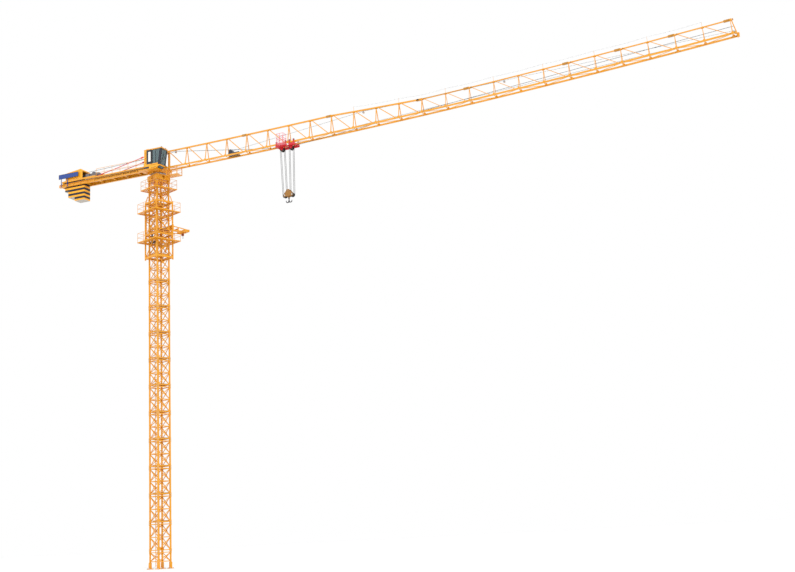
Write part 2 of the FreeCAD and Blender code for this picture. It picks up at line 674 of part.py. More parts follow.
def chord_pairs(stations):
    """Start and end points of the top chord's straight pieces, a little over length."""
    points = [rail_point(s, 0, depth_at(s)) for s in stations]
    pairs = []
    for a, b in zip(points, points[1:]):
        along = (b - a).normalize()
        pairs.append((a - along * 20, b + along * 20))
    return pairs


def grown(shape, gap):
    """The shape made larger by a gap on every side."""
    return shape.makeOffsetShape(gap, 0.01, join=2)


def jib_tip():
    """The end frame: a post from the top chord out and down to the bottom chords, and a stop."""
    last = node_s(NODE_COUNT - 1)
    depth = depth_at(last)
    end = last + TIP_REACH + SEAT_GAP
    low = rail_point(end + TIP_PLATE / 2)
    shapes = [bar(rail_point(end), rail_point(end + TIP_PLATE), CHORD_PITCH + CHORD_SIZE, TIP_PLATE_HEIGHT)]
    shapes.append(bar(rail_point(last + SEAT_GAP, 0, depth), rail_point(last + SEAT_GAP + TIP_BLOCK, 0, depth),
                      CHORD_SIZE, LUG_HEIGHT))
    shapes.append(bar(rail_point(last + TIP_BLOCK * 0.6, 0, depth), low + Z_AXIS * 20, TIP_POST_SIZE, TIP_POST_SIZE,
                      Y_AXIS))
    shapes.append(box(low.x, low.x + 100, -60, 60, low.z - 130, low.z + 50))
    return fuse(shapes)


def trolley_winch():
    """The winch that hauls the trolley, on a cradle across the bottom chords."""
    s = node_s(2) + BAY * 0.32
    base = rail_point(s)
    half = CHORD_PITCH / 2 - CHORD_SIZE / 2 - SEAT_GAP
    z = base.z + CROSS_SIZE / 2 + SEAT_GAP
    cradle = box(base.x - 300, base.x + 300, -half, half, z, z + 25)
    drum = Part.makeCylinder(110, 230, Vector(base.x - 130, -115, z + 135), Y_AXIS)
    motor = Part.makeCylinder(75, 300, Vector(base.x + 20, 0, z + 100), X_AXIS)
    stand = box(base.x - 230, base.x + 120, -130, 130, z + 20, z + 110)
    hood = prism([Vector(base.x - 270, -150, z + 20), Vector(base.x + 60, -150, z + 20),
                  Vector(base.x - 90, -150, z + 310), Vector(base.x - 190, -150, z + 310)], Y_AXIS * 300)
    return fuse([cradle, drum, motor, stand, hood])


# ---- counter jib ----
def girder(y, x0, x1, z0):
    """An I-beam along X."""
    half = GIRDER_FLANGE / 2
    top = z0 + GIRDER_DEPTH
    web = box(x0, x1, y - GIRDER_PLATE / 2, y + GIRDER_PLATE / 2, z0, top)
    low = box(x0, x1, y - half, y + half, z0, z0 + GIRDER_PLATE)
    high = box(x0, x1, y - half, y + half, top - GIRDER_PLATE, top)
    return [web, low, high]


def counter_jib_frame():
    """Two girders with cross members, resting on the turntable and pinned to the tower head."""
    x1 = HEAD_REAR_X - HEAD_POST / 2 - SEAT_GAP
    z0 = TURNTABLE_TOP_Z
    half = GIRDER_PITCH / 2
    shapes = []
    for side in (-1, 1):
        shapes += girder(side * half, COUNTER_END_X, x1, z0)
        foot = Vector(TIE_FOOT_X, side * half, z0 + GIRDER_DEPTH - 5)
        reach = TIE_LUG_LENGTH / 2
        shapes.append(box(foot.x - reach, foot.x + reach, foot.y - 12, foot.y + 12, foot.z, foot.z + TIE_LUG_HEIGHT))
    middle = z0 + GIRDER_DEPTH / 2
    slab_outer = SLAB_INNER_X - SLAB_PITCH * SLAB_COUNT
    length = x1 - COUNTER_END_X
    count = ceil(length / CROSS_MEMBER_SPACING)
    for i in range(count + 1):
        x = x1 - 60 - (length - 120) * i / count
        if slab_outer - 60 < x < SLAB_INNER_X + 60:
            continue
        shapes.append(bar(Vector(x, -half, middle), Vector(x, half, middle), 60, 100))
    return fuse(shapes)


def counter_jib_deck():
    """The walkway between the girders, on their cross members' level."""
    x0 = SLAB_INNER_X + 120
    x1 = HEAD_REAR_X - HEAD_POST / 2 - 20
    z0 = TURNTABLE_TOP_Z + GIRDER_DEPTH
    inner = GIRDER_PITCH / 2 + GIRDER_FLANGE / 2 + 40
    plate = box(x0, x1, -inner, inner, z0, z0 + DECK_THICKNESS)
    for side in (-1, 1):
        y = side * GIRDER_PITCH / 2
        plate = plate.cut(box(TIE_FOOT_X - 80, TIE_FOOT_X + 80, y - 20, y + 20, z0, z0 + DECK_THICKNESS))
    return plate


def counter_jib_railing():
    """Railings on both edges of the walkway."""
    z = TURNTABLE_TOP_Z + GIRDER_DEPTH + DECK_THICKNESS
    x0 = WINCH_INNER_X + 60
    x1 = CAB_PLATFORM_REAR_X - 60
    y = GIRDER_PITCH / 2 + GIRDER_FLANGE / 2 + 30
    return [railing_run(Vector(x0, side * y, z), Vector(x1, side * y, z)) for side in (-1, 1)]


def tie_rods():
    """Two stays from the tower head's rear beam down to lugs on the girders."""
    rear_top = JIB_AXIS_Z + DEEP_DEPTH + CHORD_SIZE / 2 - HEAD_REAR_DROP
    rods = []
    for side in (-1, 1):
        y = side * GIRDER_PITCH / 2
        face_x = HEAD_REAR_X - HEAD_POST / 2 - SEAT_GAP
        head = Vector(face_x - 30, y, rear_top - HEAD_BEAM / 2)
        foot = Vector(TIE_FOOT_X, y, TURNTABLE_TOP_Z + GIRDER_DEPTH - 5 + TIE_LUG_HEIGHT + SEAT_GAP + 30)
        along = (head - foot).normalize()
        end_block = box(face_x - 80, face_x, y - 26, y + 26, head.z - 34, head.z + 34)
        foot_block = box(foot.x - 60, foot.x + 60, y - 26, y + 26, foot.z - 30, foot.z + 30)
        pieces = [rod(foot, head, TIE_RADIUS), end_block, foot_block]
        links = (foot + along * 330, head - along * 500)
        pieces += [rod(at - along * 60, at + along * 60, TIE_RADIUS * 1.9) for at in links]
        rods.append(fuse(pieces))
    return rods


def counterweight_slabs():
    """Slabs hung side by side between the girders on hooks over their top flanges."""
    hook_z = TURNTABLE_TOP_Z + GIRDER_DEPTH
    slabs = []
    for i in range(SLAB_COUNT):
        x1 = SLAB_INNER_X - SLAB_PITCH * i
        x0 = x1 - SLAB_THICKNESS
        body = box(x0, x1, -SLAB_WIDTH / 2, SLAB_WIDTH / 2, SLAB_TOP_Z - SLAB_HEIGHTS[i], SLAB_TOP_Z)
        neck = box(x0, x1, -SLAB_NECK / 2, SLAB_NECK / 2, SLAB_TOP_Z, hook_z + SLAB_HOOK_HEIGHT)
        hook = box(x0, x1, -SLAB_HOOK_LENGTH / 2, SLAB_HOOK_LENGTH / 2, hook_z, hook_z + SLAB_HOOK_HEIGHT)
        slabs.append(fuse([body, neck, hook]))
    return slabs


def winch_frame():
    """The skid on the girders under the hoist winch."""
    half = WINCH_WIDTH / 2
    z0 = WINCH_BEAM_Z
    top = z0 + WINCH_BEAM_HEIGHT
    shapes = []
    for side in (-1, 1):
        y = side * half
        shapes.append(box(WINCH_OUTER_X, WINCH_INNER_X, y - 35, y + 35, z0, top))
    for x in (WINCH_OUTER_X + 30, DRUM_X - 260, DRUM_X + 260, WINCH_INNER_X - 30):
        shapes.append(box(x - 30, x + 30, -half, half, z0, top))
    for side in (-1, 1):
        y = side * GIRDER_PITCH / 2
        outer_foot_x = WINCH_OUTER_X - WINCH_FOOT_LENGTH - 70
        for x in (outer_foot_x, WINCH_INNER_X - 2 * WINCH_FOOT_LENGTH - 100):
            foot = box(x, x + WINCH_FOOT_LENGTH, y - 40, y + 40, TURNTABLE_TOP_Z + GIRDER_DEPTH, top)
            shapes.append(foot.cut(deck_space()))
            shapes.append(box(x, x + WINCH_FOOT_LENGTH, y - 40, side * half, z0, top) if side > 0 else
                          box(x, x + WINCH_FOOT_LENGTH, side * half, y + 40, z0, top))
        shapes.append(box(outer_foot_x, WINCH_OUTER_X + 60, y - 80, y + 80, z0, top))
        wall = DRUM_LENGTH / 2 + 20
        bearing = box(DRUM_X - 60, DRUM_X + 60, side * (wall + 20) - 18, side * (wall + 20) + 18, top - 20,
                      top + DRUM_LIFT + 60)
        bore = Part.makeCylinder(DRUM_SHAFT_RADIUS + BORE_GAP, 400, Vector(DRUM_X, side * wall - 200,
                                 top + DRUM_LIFT), Y_AXIS)
        sill = box(DRUM_X - 290, DRUM_X + 290, side * (wall + 20) - 18, side * (wall + 20) + 18, top - 20, top)
        shapes += [bearing.cut(bore), sill]
    return fuse(shapes)


def deck_space():
    """The walkway's own space with a seat gap, cut from the skid's feet."""
    x0 = SLAB_INNER_X + 120 - SEAT_GAP
    z0 = TURNTABLE_TOP_Z + GIRDER_DEPTH
    return box(x0, 0, -1000, 1000, z0, z0 + DECK_THICKNESS)


def hoist_drum():
    """The rope drum on its shaft."""
    z = WINCH_BEAM_Z + WINCH_BEAM_HEIGHT + DRUM_LIFT
    centre = Vector(DRUM_X, 0, z)
    barrel = disc(centre, DRUM_RADIUS, DRUM_LENGTH)
    flanges = [disc(centre + Y_AXIS * (side * (DRUM_LENGTH / 2 - 8)), DRUM_FLANGE_RADIUS, 16) for side in (-1, 1)]
    shaft = disc(centre, DRUM_SHAFT_RADIUS, DRUM_LENGTH + 150)
    return fuse([barrel, shaft] + flanges)


def winch_motor():
    """Motor and gearbox at the inner end of the skid."""
    z0 = WINCH_BEAM_Z + WINCH_BEAM_HEIGHT
    x1 = WINCH_INNER_X - 60
    z = z0 + 40 + MOTOR_RADIUS
    motor = rod(Vector(x1 - MOTOR_LENGTH, 0, z), Vector(x1, 0, z), MOTOR_RADIUS)
    gearbox = box(x1 - MOTOR_LENGTH - 180, x1 - MOTOR_LENGTH + 40, -190, 190, z0, z + 90)
    plinth = box(x1 - MOTOR_LENGTH, x1, -WINCH_WIDTH / 2 + 20, WINCH_WIDTH / 2 - 20, z0, z0 + 60)
    return fuse([motor, gearbox, plinth])


def winch_housing():
    """The cover over and behind the drum, open towards the tower."""
    z0 = WINCH_BEAM_Z + WINCH_BEAM_HEIGHT
    x0 = WINCH_OUTER_X + 40
    x1 = x0 + HOUSING_LENGTH + 150
    half = WINCH_WIDTH / 2 - 20
    outline = [Vector(x0, -half, z0), Vector(x1, -half, z0), Vector(x1, -half, HOUSING_TOP_Z - 90),
               Vector(x1 - 120, -half, HOUSING_TOP_Z), Vector(x0 + 60, -half, HOUSING_TOP_Z - 110),
               Vector(x0, -half, HOUSING_TOP_Z - 200)]
    outer = prism(outline, Y_AXIS * (2 * half))
    wall = 14
    room = box(x0 + 380, x1 + 10, -half + wall, half - wall, z0 - 1, HOUSING_TOP_Z - 150)
    return outer.cut(room)


def sign_panel():
    """A bare panel on two posts at the outer end of the near girder."""
    y = -(GIRDER_PITCH / 2 + GIRDER_FLANGE / 2) - SEAT_GAP
    x0 = COUNTER_END_X + 30
    panel = box(x0, x0 + SIGN_LENGTH, y - SIGN_THICKNESS - 90, y - 90, SIGN_FOOT_Z, SIGN_FOOT_Z + SIGN_HEIGHT)
    posts = []
    for part in (0.1, 0.42):
        x = x0 + SIGN_LENGTH * part
        posts.append(box(x, x + 30, y - 90, y - 60, TURNTABLE_TOP_Z + 30, SIGN_FOOT_Z + SIGN_HEIGHT - 20))
        posts.append(box(x, x + 30, y - 90, y, TURNTABLE_TOP_Z + GIRDER_DEPTH - GIRDER_PLATE,
                         TURNTABLE_TOP_Z + GIRDER_DEPTH))
        posts.append(box(x, x + 30, y - 90, y, TURNTABLE_TOP_Z, TURNTABLE_TOP_Z + GIRDER_PLATE))
        posts.append(box(x, x + 30, y - 90, y - 60, TURNTABLE_TOP_Z, TURNTABLE_TOP_Z + 60))
    return fuse([panel] + posts)


# ---- cab ----
def cab_outline(inset=0.0, y=CAB_NEAR_Y):
    """The side view of the cab, drawn in by an inset."""
    lean = (CAB_ROOF_FRONT_X - CAB_CHIN_X) / (CAB_ROOF_Z - CAB_CHIN_Z)
    return [Vector(CAB_REAR_X + inset, y, CAB_FLOOR_Z + inset),
            Vector(CAB_FLOOR_FRONT_X - inset * 0.3, y, CAB_FLOOR_Z + inset),
            Vector(CAB_CHIN_X - inset * 1.1, y, CAB_CHIN_Z + inset * 0.6),
            Vector(CAB_ROOF_FRONT_X - inset * (1 + lean), y, CAB_ROOF_Z - inset),
            Vector(CAB_REAR_X + inset, y, CAB_ROOF_Z - inset)]


def cab_windows(thickness, start):
    """Solids that fill the window places, of a thickness, starting a distance into the wall."""
    low = CAB_CHIN_Z + CAB_PILLAR
    high = CAB_ROOF_Z - CAB_PILLAR
    rear = CAB_REAR_X + CAB_PANEL_LENGTH + CAB_PILLAR
    lean = (CAB_ROOF_FRONT_X - CAB_CHIN_X) / (CAB_ROOF_Z - CAB_CHIN_Z)
    front_low = CAB_CHIN_X - CAB_PILLAR * 1.3
    front_high = front_low + lean * (high - low)
    width = CAB_FAR_Y - CAB_NEAR_Y
    panes = []
    for y, direction in ((CAB_NEAR_Y + start, 1), (CAB_FAR_Y - start, -1)):
        outline = [Vector(rear, y, low), Vector(front_low, y, low), Vector(front_high, y, high),
                   Vector(rear, y, high)]
        panes.append(prism(outline, Y_AXIS * (direction * thickness)))
    for (a, b) in ((2, 3), (1, 2)):
        corners = cab_outline()
        along = (corners[b] - corners[a])
        length = along.Length
        along.normalize()
        inward = Vector(-along.z, 0, along.x)
        inset = CAB_PILLAR if length > 400 else CAB_PILLAR * 0.5
        low_point = corners[a] + along * inset + inward * start
        high_point = corners[b] - along * inset + inward * start
        outline = [low_point, high_point, high_point + inward * thickness, low_point + inward * thickness]
        pane = prism([point + Y_AXIS * CAB_PILLAR for point in outline], Y_AXIS * (width - 2 * CAB_PILLAR))
        panes.append(pane)
    return panes


def cab():
    """The cab's shell with window openings, and the panes in them."""
    width = CAB_FAR_Y - CAB_NEAR_Y
    shell = prism(cab_outline(), Y_AXIS * width)
    room = prism(cab_outline(CAB_WALL, CAB_NEAR_Y + CAB_WALL), Y_AXIS * (width - 2 * CAB_WALL))
    shell = shell.cut(room)
    for opening in cab_windows(CAB_WALL + 12, -6):
        shell = shell.cut(opening)
    panes = [grown(pane, -SEAT_GAP) for pane in cab_windows(GLASS_THICKNESS, 6)]
    return shell, panes


def cab_platform():
    """The deck that carries the cab beside the turntable."""
    z1 = CAB_FLOOR_Z - SEAT_GAP
    y1 = -TURNTABLE_WIDTH / 2 - SEAT_GAP
    z0 = z1 - CAB_PLATFORM_THICKNESS
    deck = box(CAB_PLATFORM_REAR_X, CAB_FLOOR_FRONT_X, CAB_NEAR_Y, y1, z0, z1)
    ribs = []
    for x in (-380.0, 0.0, 380.0):
        outline = [Vector(x, y1, z0 + 5), Vector(x, CAB_NEAR_Y + 60, z0 + 5), Vector(x, y1, z0 - CAB_RIB_DROP)]
        ribs.append(prism(outline, X_AXIS * 20))
    return fuse([deck] + ribs)


def front_platform():
    """A small service platform hung from the bottom chords at the root of the jib."""
    x0 = SUPPORT_SIZE / sqrt(2) + FRONT_PLATFORM_CLEARANCE
    x1 = x0 + FRONT_PLATFORM_LENGTH
    half = FRONT_PLATFORM_WIDTH / 2
    z = FRONT_PLATFORM_Z
    shapes = [box(x0, x1, -half, half, z, z + 30)]
    for side in (-1, 1):
        y = side * (half - 15)
        for x in (x0 + 15, x1 - 15):
            chord_face = rail_point(x).z - CHORD_SIZE / 2 - SEAT_GAP
            shapes.append(box(x - 15, x + 15, y - 15, y + 15, z, chord_face))
        shapes.append(railing_run(Vector(x0 + 15, y, z + 30), Vector(x1 - 15, y, z + 30), height=FRONT_PLATFORM_RAIL))
    return fuse(shapes)


# ---- trolley ----
def placed_on_rail(shape):
    """Move a shape drawn about the origin, X along the rail, to the trolley's place at rest."""
    copy = shape.copy()
    copy.rotate(Vector(), Y_AXIS, -degrees(TROLLEY_S / JIB_BOW_RADIUS))
    copy.translate(rail_point(TROLLEY_S))
    return copy


def wheel_places():
    """The wheels' middles, in the trolley's own frame."""
    y = (CHORD_PITCH + CHORD_SIZE) / 2 - WHEEL_WIDTH / 2
    z = CHORD_SIZE / 2 + WHEEL_GAP + WHEEL_RADIUS
    xs = [x for x0, x1 in TROLLEY_FRAMES for x in (x0 + AXLE_INSET, x1 - AXLE_INSET)]
    return [Vector(x, side * y, z) for x in xs for side in (-1, 1)]


def trolley_frame():
    """Two wheeled frames linked together, with cheeks for the rope sheaves."""
    plate_y = (CHORD_PITCH + CHORD_SIZE) / 2 + TROLLEY_SIDE_GAP
    outer_y = plate_y + TROLLEY_PLATE
    shapes = []
    for x0, x1 in TROLLEY_FRAMES:
        for side in (-1, 1):
            y0, y1 = sorted((side * plate_y, side * outer_y))
            shapes.append(box(x0, x1, y0, y1, FRAME_BOTTOM, FRAME_TOP))
        for x in (x0 + 30, x1 - 30):
            shapes.append(bar(Vector(x, -outer_y, -FRAME_BAR_DROP), Vector(x, outer_y, -FRAME_BAR_DROP), 50))
    for place in wheel_places():
        side = 1 if place.y > 0 else -1
        y0, y1 = sorted((side * plate_y, side * outer_y))
        shapes.append(box(place.x - 32, place.x + 32, y0, y1, FRAME_TOP - 20, place.z + 32))
        axle_y = abs(place.y) - WHEEL_WIDTH / 2 + 2
        shapes.append(rod(Vector(place.x, side * axle_y, place.z), Vector(place.x, side * outer_y, place.z),
                          AXLE_RADIUS))
    link_start, link_end = TROLLEY_FRAMES[0][1], TROLLEY_FRAMES[1][0]
    shapes.append(box(link_start - 60, link_end + 60, -40, 40, -150, -110))
    for x in UPPER_SHEAVES_X:
        for side in (-1, 1):
            y = side * (SHEAVE_Y + SHEAVE_WIDTH / 2 + 10)
            y0, y1 = sorted((y, y + side * TROLLEY_PLATE))
            outline = [Vector(x - 150, y0, -110), Vector(x - 40, y0, -SHEAVE_AXLE_DROP - 40),
                       Vector(x + 40, y0, -SHEAVE_AXLE_DROP - 40), Vector(x + 150, y0, -110)]
            shapes.append(prism(outline, Y_AXIS * (y1 - y0)))
            shapes.append(box(x - 330, x + 330, y0, y1, -150, -110).common(
                box(TROLLEY_FRAMES[0][0], TROLLEY_FRAMES[1][1], -500, 500, -500, 500)))
        shapes.append(disc(Vector(x, 0, -SHEAVE_AXLE_DROP), AXLE_RADIUS, 2 * (SHEAVE_Y + SHEAVE_WIDTH / 2 + 20)))
    return placed_on_rail(fuse(shapes))


def trolley_wheels():
    """The eight wheels on top of the bottom chords."""
    return [placed_on_rail(disc(place, WHEEL_RADIUS, WHEEL_WIDTH, AXLE_RADIUS + BORE_GAP))
            for place in wheel_places()]


def trolley_sheaves():
    """Four rope sheaves, two on each axle."""
    places = [Vector(x, side * SHEAVE_Y, -SHEAVE_AXLE_DROP) for x in UPPER_SHEAVES_X for side in (-1, 1)]
    return [placed_on_rail(disc(place, UPPER_SHEAVE_RADIUS, SHEAVE_WIDTH, AXLE_RADIUS + BORE_GAP))
            for place in places]


def trolley_basket():
    """The inspection basket on the cab's side of the trolley."""
    y1 = -((CHORD_PITCH + CHORD_SIZE) / 2 + TROLLEY_SIDE_GAP + TROLLEY_PLATE + SEAT_GAP)
    y0 = y1 - BASKET_WIDTH
    x0, x1 = BASKET_START, BASKET_START + BASKET_LENGTH
    x1 = min(x1, TROLLEY_FRAMES[0][1] - 2)
    z = BASKET_FLOOR
    top = z + BASKET_HEIGHT
    shapes = [box(x0, x1, y0, y1, z, z + 20)]
    for x in (x0, (x0 + x1 - RAILING_BAR) / 2, x1 - RAILING_BAR):
        for y in (y0, y1 - RAILING_BAR):
            shapes.append(box(x, x + RAILING_BAR, y, y + RAILING_BAR, z, top))
    for level in (0.55, 1.0):
        h = z + BASKET_HEIGHT * level
        for y in (y0, y1 - RAILING_BAR):
            shapes.append(box(x0, x1, y, y + RAILING_BAR, h - RAILING_BAR, h))
        for x in (x0, x1 - RAILING_BAR):
            shapes.append(box(x, x + RAILING_BAR, y0, y1, h - RAILING_BAR, h))
    return placed_on_rail(fuse(shapes))


# ---- ropes and hook ----
def rope_falls():
    """Eight straight falls between the trolley's sheaves and those of the hook block."""
    axis = rail_point(TROLLEY_S)
    angle = TROLLEY_S / JIB_BOW_RADIUS
    falls = []
    lower_xs = (-LOWER_SHEAVE_PITCH / 2, LOWER_SHEAVE_PITCH / 2)
    for upper, lower in zip(UPPER_SHEAVES_X, lower_xs):
        top_x = axis.x + upper * cos(angle) + SHEAVE_AXLE_DROP * sin(angle)
        top_z = axis.z + upper * sin(angle) - SHEAVE_AXLE_DROP * cos(angle)
        for hand in (-1, 1):
            head_x = top_x + hand * (UPPER_SHEAVE_RADIUS + ROPE_RADIUS + SEAT_GAP)
            foot_x = axis.x + lower + hand * (LOWER_SHEAVE_RADIUS + ROPE_RADIUS + SEAT_GAP)
            for y in (-SHEAVE_Y, SHEAVE_Y):
                falls.append(rod(Vector(foot_x, y, LOWER_SHEAVE_Z), Vector(head_x, y, top_z), ROPE_RADIUS))
    return falls


def hook_block():
    """Two triangular cheek plates with spacers and a swivel seat below."""
    x = rail_point(TROLLEY_S).x
    half = LOWER_SHEAVE_PITCH / 2
    shapes = []
    cheek_y = SHEAVE_Y + SHEAVE_WIDTH / 2 + 4
    for side in (-1, 1):
        y = side * cheek_y
        y0, y1 = sorted((y, y + side * BLOCK_PLATE))
        outline = [Vector(x - half - 60, y0, LOWER_SHEAVE_Z - 70), Vector(x + half + 60, y0, LOWER_SHEAVE_Z - 70),
                   Vector(x + half + 60, y0, LOWER_SHEAVE_Z + 45), Vector(x + 60, y0, BLOCK_APEX_Z),
                   Vector(x - 60, y0, BLOCK_APEX_Z), Vector(x - half - 60, y0, LOWER_SHEAVE_Z + 45)]
        shapes.append(prism(outline, Y_AXIS * (y1 - y0)))
    for place in (-half, half):
        shapes.append(disc(Vector(x + place, 0, LOWER_SHEAVE_Z), AXLE_RADIUS, 2 * (cheek_y + BLOCK_PLATE + 6)))
    shapes.append(box(x - 40, x + 40, -cheek_y - 5, cheek_y + 5, BLOCK_APEX_Z - 110, BLOCK_APEX_Z - 50))
    shapes.append(box(x - 62, x + 62, -cheek_y - 5, cheek_y + 5, LOWER_SHEAVE_Z - 75, LOWER_SHEAVE_Z - 15))
    seat = Part.makeCylinder(SWIVEL_RADIUS, LOWER_SHEAVE_Z - 60 - SWIVEL_Z, Vector(x, 0, SWIVEL_Z))
    bore = Part.makeCylinder(HOOK_STEM_RADIUS + BORE_GAP, LOWER_SHEAVE_Z - 80 - SWIVEL_Z, Vector(x, 0, SWIVEL_Z))
    return fuse(shapes + [seat]).cut(bore)


def block_sheaves():
    """Four sheaves at the block's lower corners."""
    x = rail_point(TROLLEY_S).x
    half = LOWER_SHEAVE_PITCH / 2
    places = [Vector(x + place, y, LOWER_SHEAVE_Z) for place in (-half, half) for y in (-SHEAVE_Y, SHEAVE_Y)]
    return [disc(place, LOWER_SHEAVE_RADIUS, SHEAVE_WIDTH, AXLE_RADIUS + BORE_GAP) for place in places]


def hook():
    """A double hook on its stem: two upturned prongs either side."""
    x = rail_point(TROLLEY_S).x
    stem_top = LOWER_SHEAVE_Z - 100
    centre_z = HOOK_BOTTOM_Z + HOOK_RADIUS
    y0 = -HOOK_THICKNESS / 2
    shapes = [Part.makeCylinder(HOOK_STEM_RADIUS, stem_top - centre_z, Vector(x, 0, centre_z))]
    collar_top = SWIVEL_Z - SEAT_GAP
    shapes.append(Part.makeCylinder(SWIVEL_RADIUS, 24, Vector(x, 0, collar_top - 24)))
    shapes.append(box(x - 28, x + 28, y0, -y0, centre_z - 60, collar_top - 10))
    for side in (-1, 1):
        middle = Vector(x + side * HOOK_RADIUS * 0.95, y0, centre_z + 20)
        outer = Part.makeCylinder(HOOK_RADIUS, HOOK_THICKNESS, middle, Y_AXIS)
        inner = Part.makeCylinder(HOOK_RADIUS * 0.5, HOOK_THICKNESS, middle, Y_AXIS)
        upper = box(x - 400, x + 400, -200, 200, middle.z, middle.z + 400)
        arc = outer.cut(inner).cut(upper)
        tip_x = middle.x + side * HOOK_RADIUS * 0.75
        tip = prism([Vector(tip_x - HOOK_RADIUS * 0.25, y0, middle.z - 1),
                     Vector(tip_x + HOOK_RADIUS * 0.25, y0, middle.z - 1),
                     Vector(tip_x + HOOK_RADIUS * 0.1, y0, middle.z + 50)], Y_AXIS * HOOK_THICKNESS)
        shapes += [arc, tip]
    return fuse(shapes)


def build():
    """Make every node of the crane."""
    os.makedirs("parts", exist_ok=True)
    turn = TOWER_TURN
    write("foot_plates", foot_plates(), turn)
    write("base_frame", base_sides(), turn)
    section = mast_section()
    for first in range(0, SECTION_COUNT, SECTIONS_PER_NODE):
        copies = []
        for k in range(first, min(first + SECTIONS_PER_NODE, SECTION_COUNT)):
            for side in section:
                copy = side.copy()
                copy.translate(Vector(0, 0, SECTION_HEIGHT * k))
                copies.append(copy)
        write(f"mast_sections_{first + 1:02d}_{min(first + SECTIONS_PER_NODE, SECTION_COUNT):02d}", copies, turn)
    for k in range(4):
        write(f"cage_side_{k + 1}", [cage_side(k)], turn)
    cage_hole = CAGE_PITCH + CAGE_POST + 2 * SEAT_GAP
    mast_hole = 2 * mast_half(PLATFORM_TOP_Z) + 2 * SEAT_GAP
    write("cage_platform_lower", [platform(CAGE_PLATFORM_SIZE, cage_hole, PLATFORM_LOWER_Z)], turn)
    write("cage_platform_upper", [platform(CAGE_PLATFORM_SIZE, cage_hole, PLATFORM_UPPER_Z)], turn)
    write("mast_platform_top", [platform(TOP_PLATFORM_SIZE, mast_hole, PLATFORM_TOP_Z)], turn)
    decks = ((CAGE_PLATFORM_SIZE, PLATFORM_LOWER_Z), (CAGE_PLATFORM_SIZE, PLATFORM_UPPER_Z),
             (TOP_PLATFORM_SIZE, PLATFORM_TOP_Z))
    railings = [run for size, z in decks for run in railing_loop(size, z)]
    write("platform_railings", railings, turn)
    write("loading_beam", [loading_beam()], turn)
    write("climbing_cylinder", [climbing_cylinder()], turn)
    write("slewing_support", [slewing_support()], turn)
    fixed_ring, turning_ring = slewing_rings()
    write("slewing_ring_fixed", [fixed_ring])
    write("slewing_ring_turning", [turning_ring])
    write("turntable", [turntable()])
    write("tower_head", [tower_head()])
    for index in range(len(SECTION_ENDS)):
        write(f"jib_section_{index + 1}", jib_section(index))
    write("jib_tip", [jib_tip()])
    write("trolley_winch", [trolley_winch()])
    write("counter_jib_frame", [counter_jib_frame()])
    write("counter_jib_deck", [counter_jib_deck()])
    write("counter_jib_railings", counter_jib_railing())
    write("tie_rods", tie_rods())
    write("counterweight_slabs", counterweight_slabs())
    write("winch_frame", [winch_frame()])
    write("hoist_drum", [hoist_drum()])
    write("winch_motor", [winch_motor()])
    write("winch_housing", [winch_housing()])
    write("sign_panel", [sign_panel()])
    shell, panes = cab()
    write("cab_shell", [shell])
    write("cab_glass", panes)
    write("cab_platform", [cab_platform()])
    write("front_platform", [front_platform()])
    write("trolley_frame", [trolley_frame()])
    write("trolley_wheels", trolley_wheels())
    write("trolley_sheaves", trolley_sheaves())
    write("trolley_basket", [trolley_basket()])
    write("hoist_ropes", rope_falls())
    write("hook_block", [hook_block()])
    write("block_sheaves", block_sheaves())
    write("hook", [hook()])


build()
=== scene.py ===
"""Looks for a flat-top tower crane at 1:2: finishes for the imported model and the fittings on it.

Lengths are metres in the model's own frame: +Z up the slewing axis, +X along the jib at
rest, the cab on the -Y side.  Every surface is worked out as arrays of points, a grid of
two parameters or a profile carried along a path, and each function says its formula.
"""

import math
from collections import namedtuple

import bpy
import numpy as np
from mathutils import Matrix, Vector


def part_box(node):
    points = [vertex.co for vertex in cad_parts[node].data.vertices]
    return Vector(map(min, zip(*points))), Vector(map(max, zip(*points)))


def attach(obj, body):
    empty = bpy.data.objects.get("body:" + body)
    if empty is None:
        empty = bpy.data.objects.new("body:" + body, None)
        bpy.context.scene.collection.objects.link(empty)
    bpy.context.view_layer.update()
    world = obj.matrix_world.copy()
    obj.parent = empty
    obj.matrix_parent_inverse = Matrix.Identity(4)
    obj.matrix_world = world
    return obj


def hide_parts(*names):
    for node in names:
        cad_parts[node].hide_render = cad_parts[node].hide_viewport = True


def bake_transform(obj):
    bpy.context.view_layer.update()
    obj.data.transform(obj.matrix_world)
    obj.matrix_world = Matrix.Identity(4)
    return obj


bl_info = {
    "name": "Tower Crane Looks",
    "version": (1, 0, 0),
    "blender": (4, 5, 0),
    "location": "View3D > Sidebar > Crane",
    "description": "Finishes and fittings for a flat-top tower crane",
    "category": "Object",
}

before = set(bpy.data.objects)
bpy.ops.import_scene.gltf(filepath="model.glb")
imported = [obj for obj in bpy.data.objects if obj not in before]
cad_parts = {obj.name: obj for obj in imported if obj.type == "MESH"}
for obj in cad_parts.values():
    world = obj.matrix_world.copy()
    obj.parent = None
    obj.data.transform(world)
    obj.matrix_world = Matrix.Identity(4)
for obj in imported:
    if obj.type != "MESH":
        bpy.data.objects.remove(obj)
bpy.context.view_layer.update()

X, Y, Z = np.eye(3)


def linear(code):
    """A linear colour from an sRGB hex code: each channel is raised to 2.4 above its toe."""
    channels = np.array([int(code[i:i + 2], 16) for i in (0, 2, 4)]) / 255
    return tuple(np.where(channels <= 0.04045, channels / 12.92, ((channels + 0.055) / 1.055) ** 2.4))


def length(name, description, default):
    """A property for a length in metres."""
    return bpy.props.FloatProperty(name=name, description=description, default=default, unit="LENGTH",
                                   precision=4)


def colour(name, description, code):
    """A property for a colour given as an sRGB hex code."""
    return bpy.props.FloatVectorProperty(name=name, description=description, default=linear(code), size=3,
                                         min=0, max=1, subtype="COLOR")


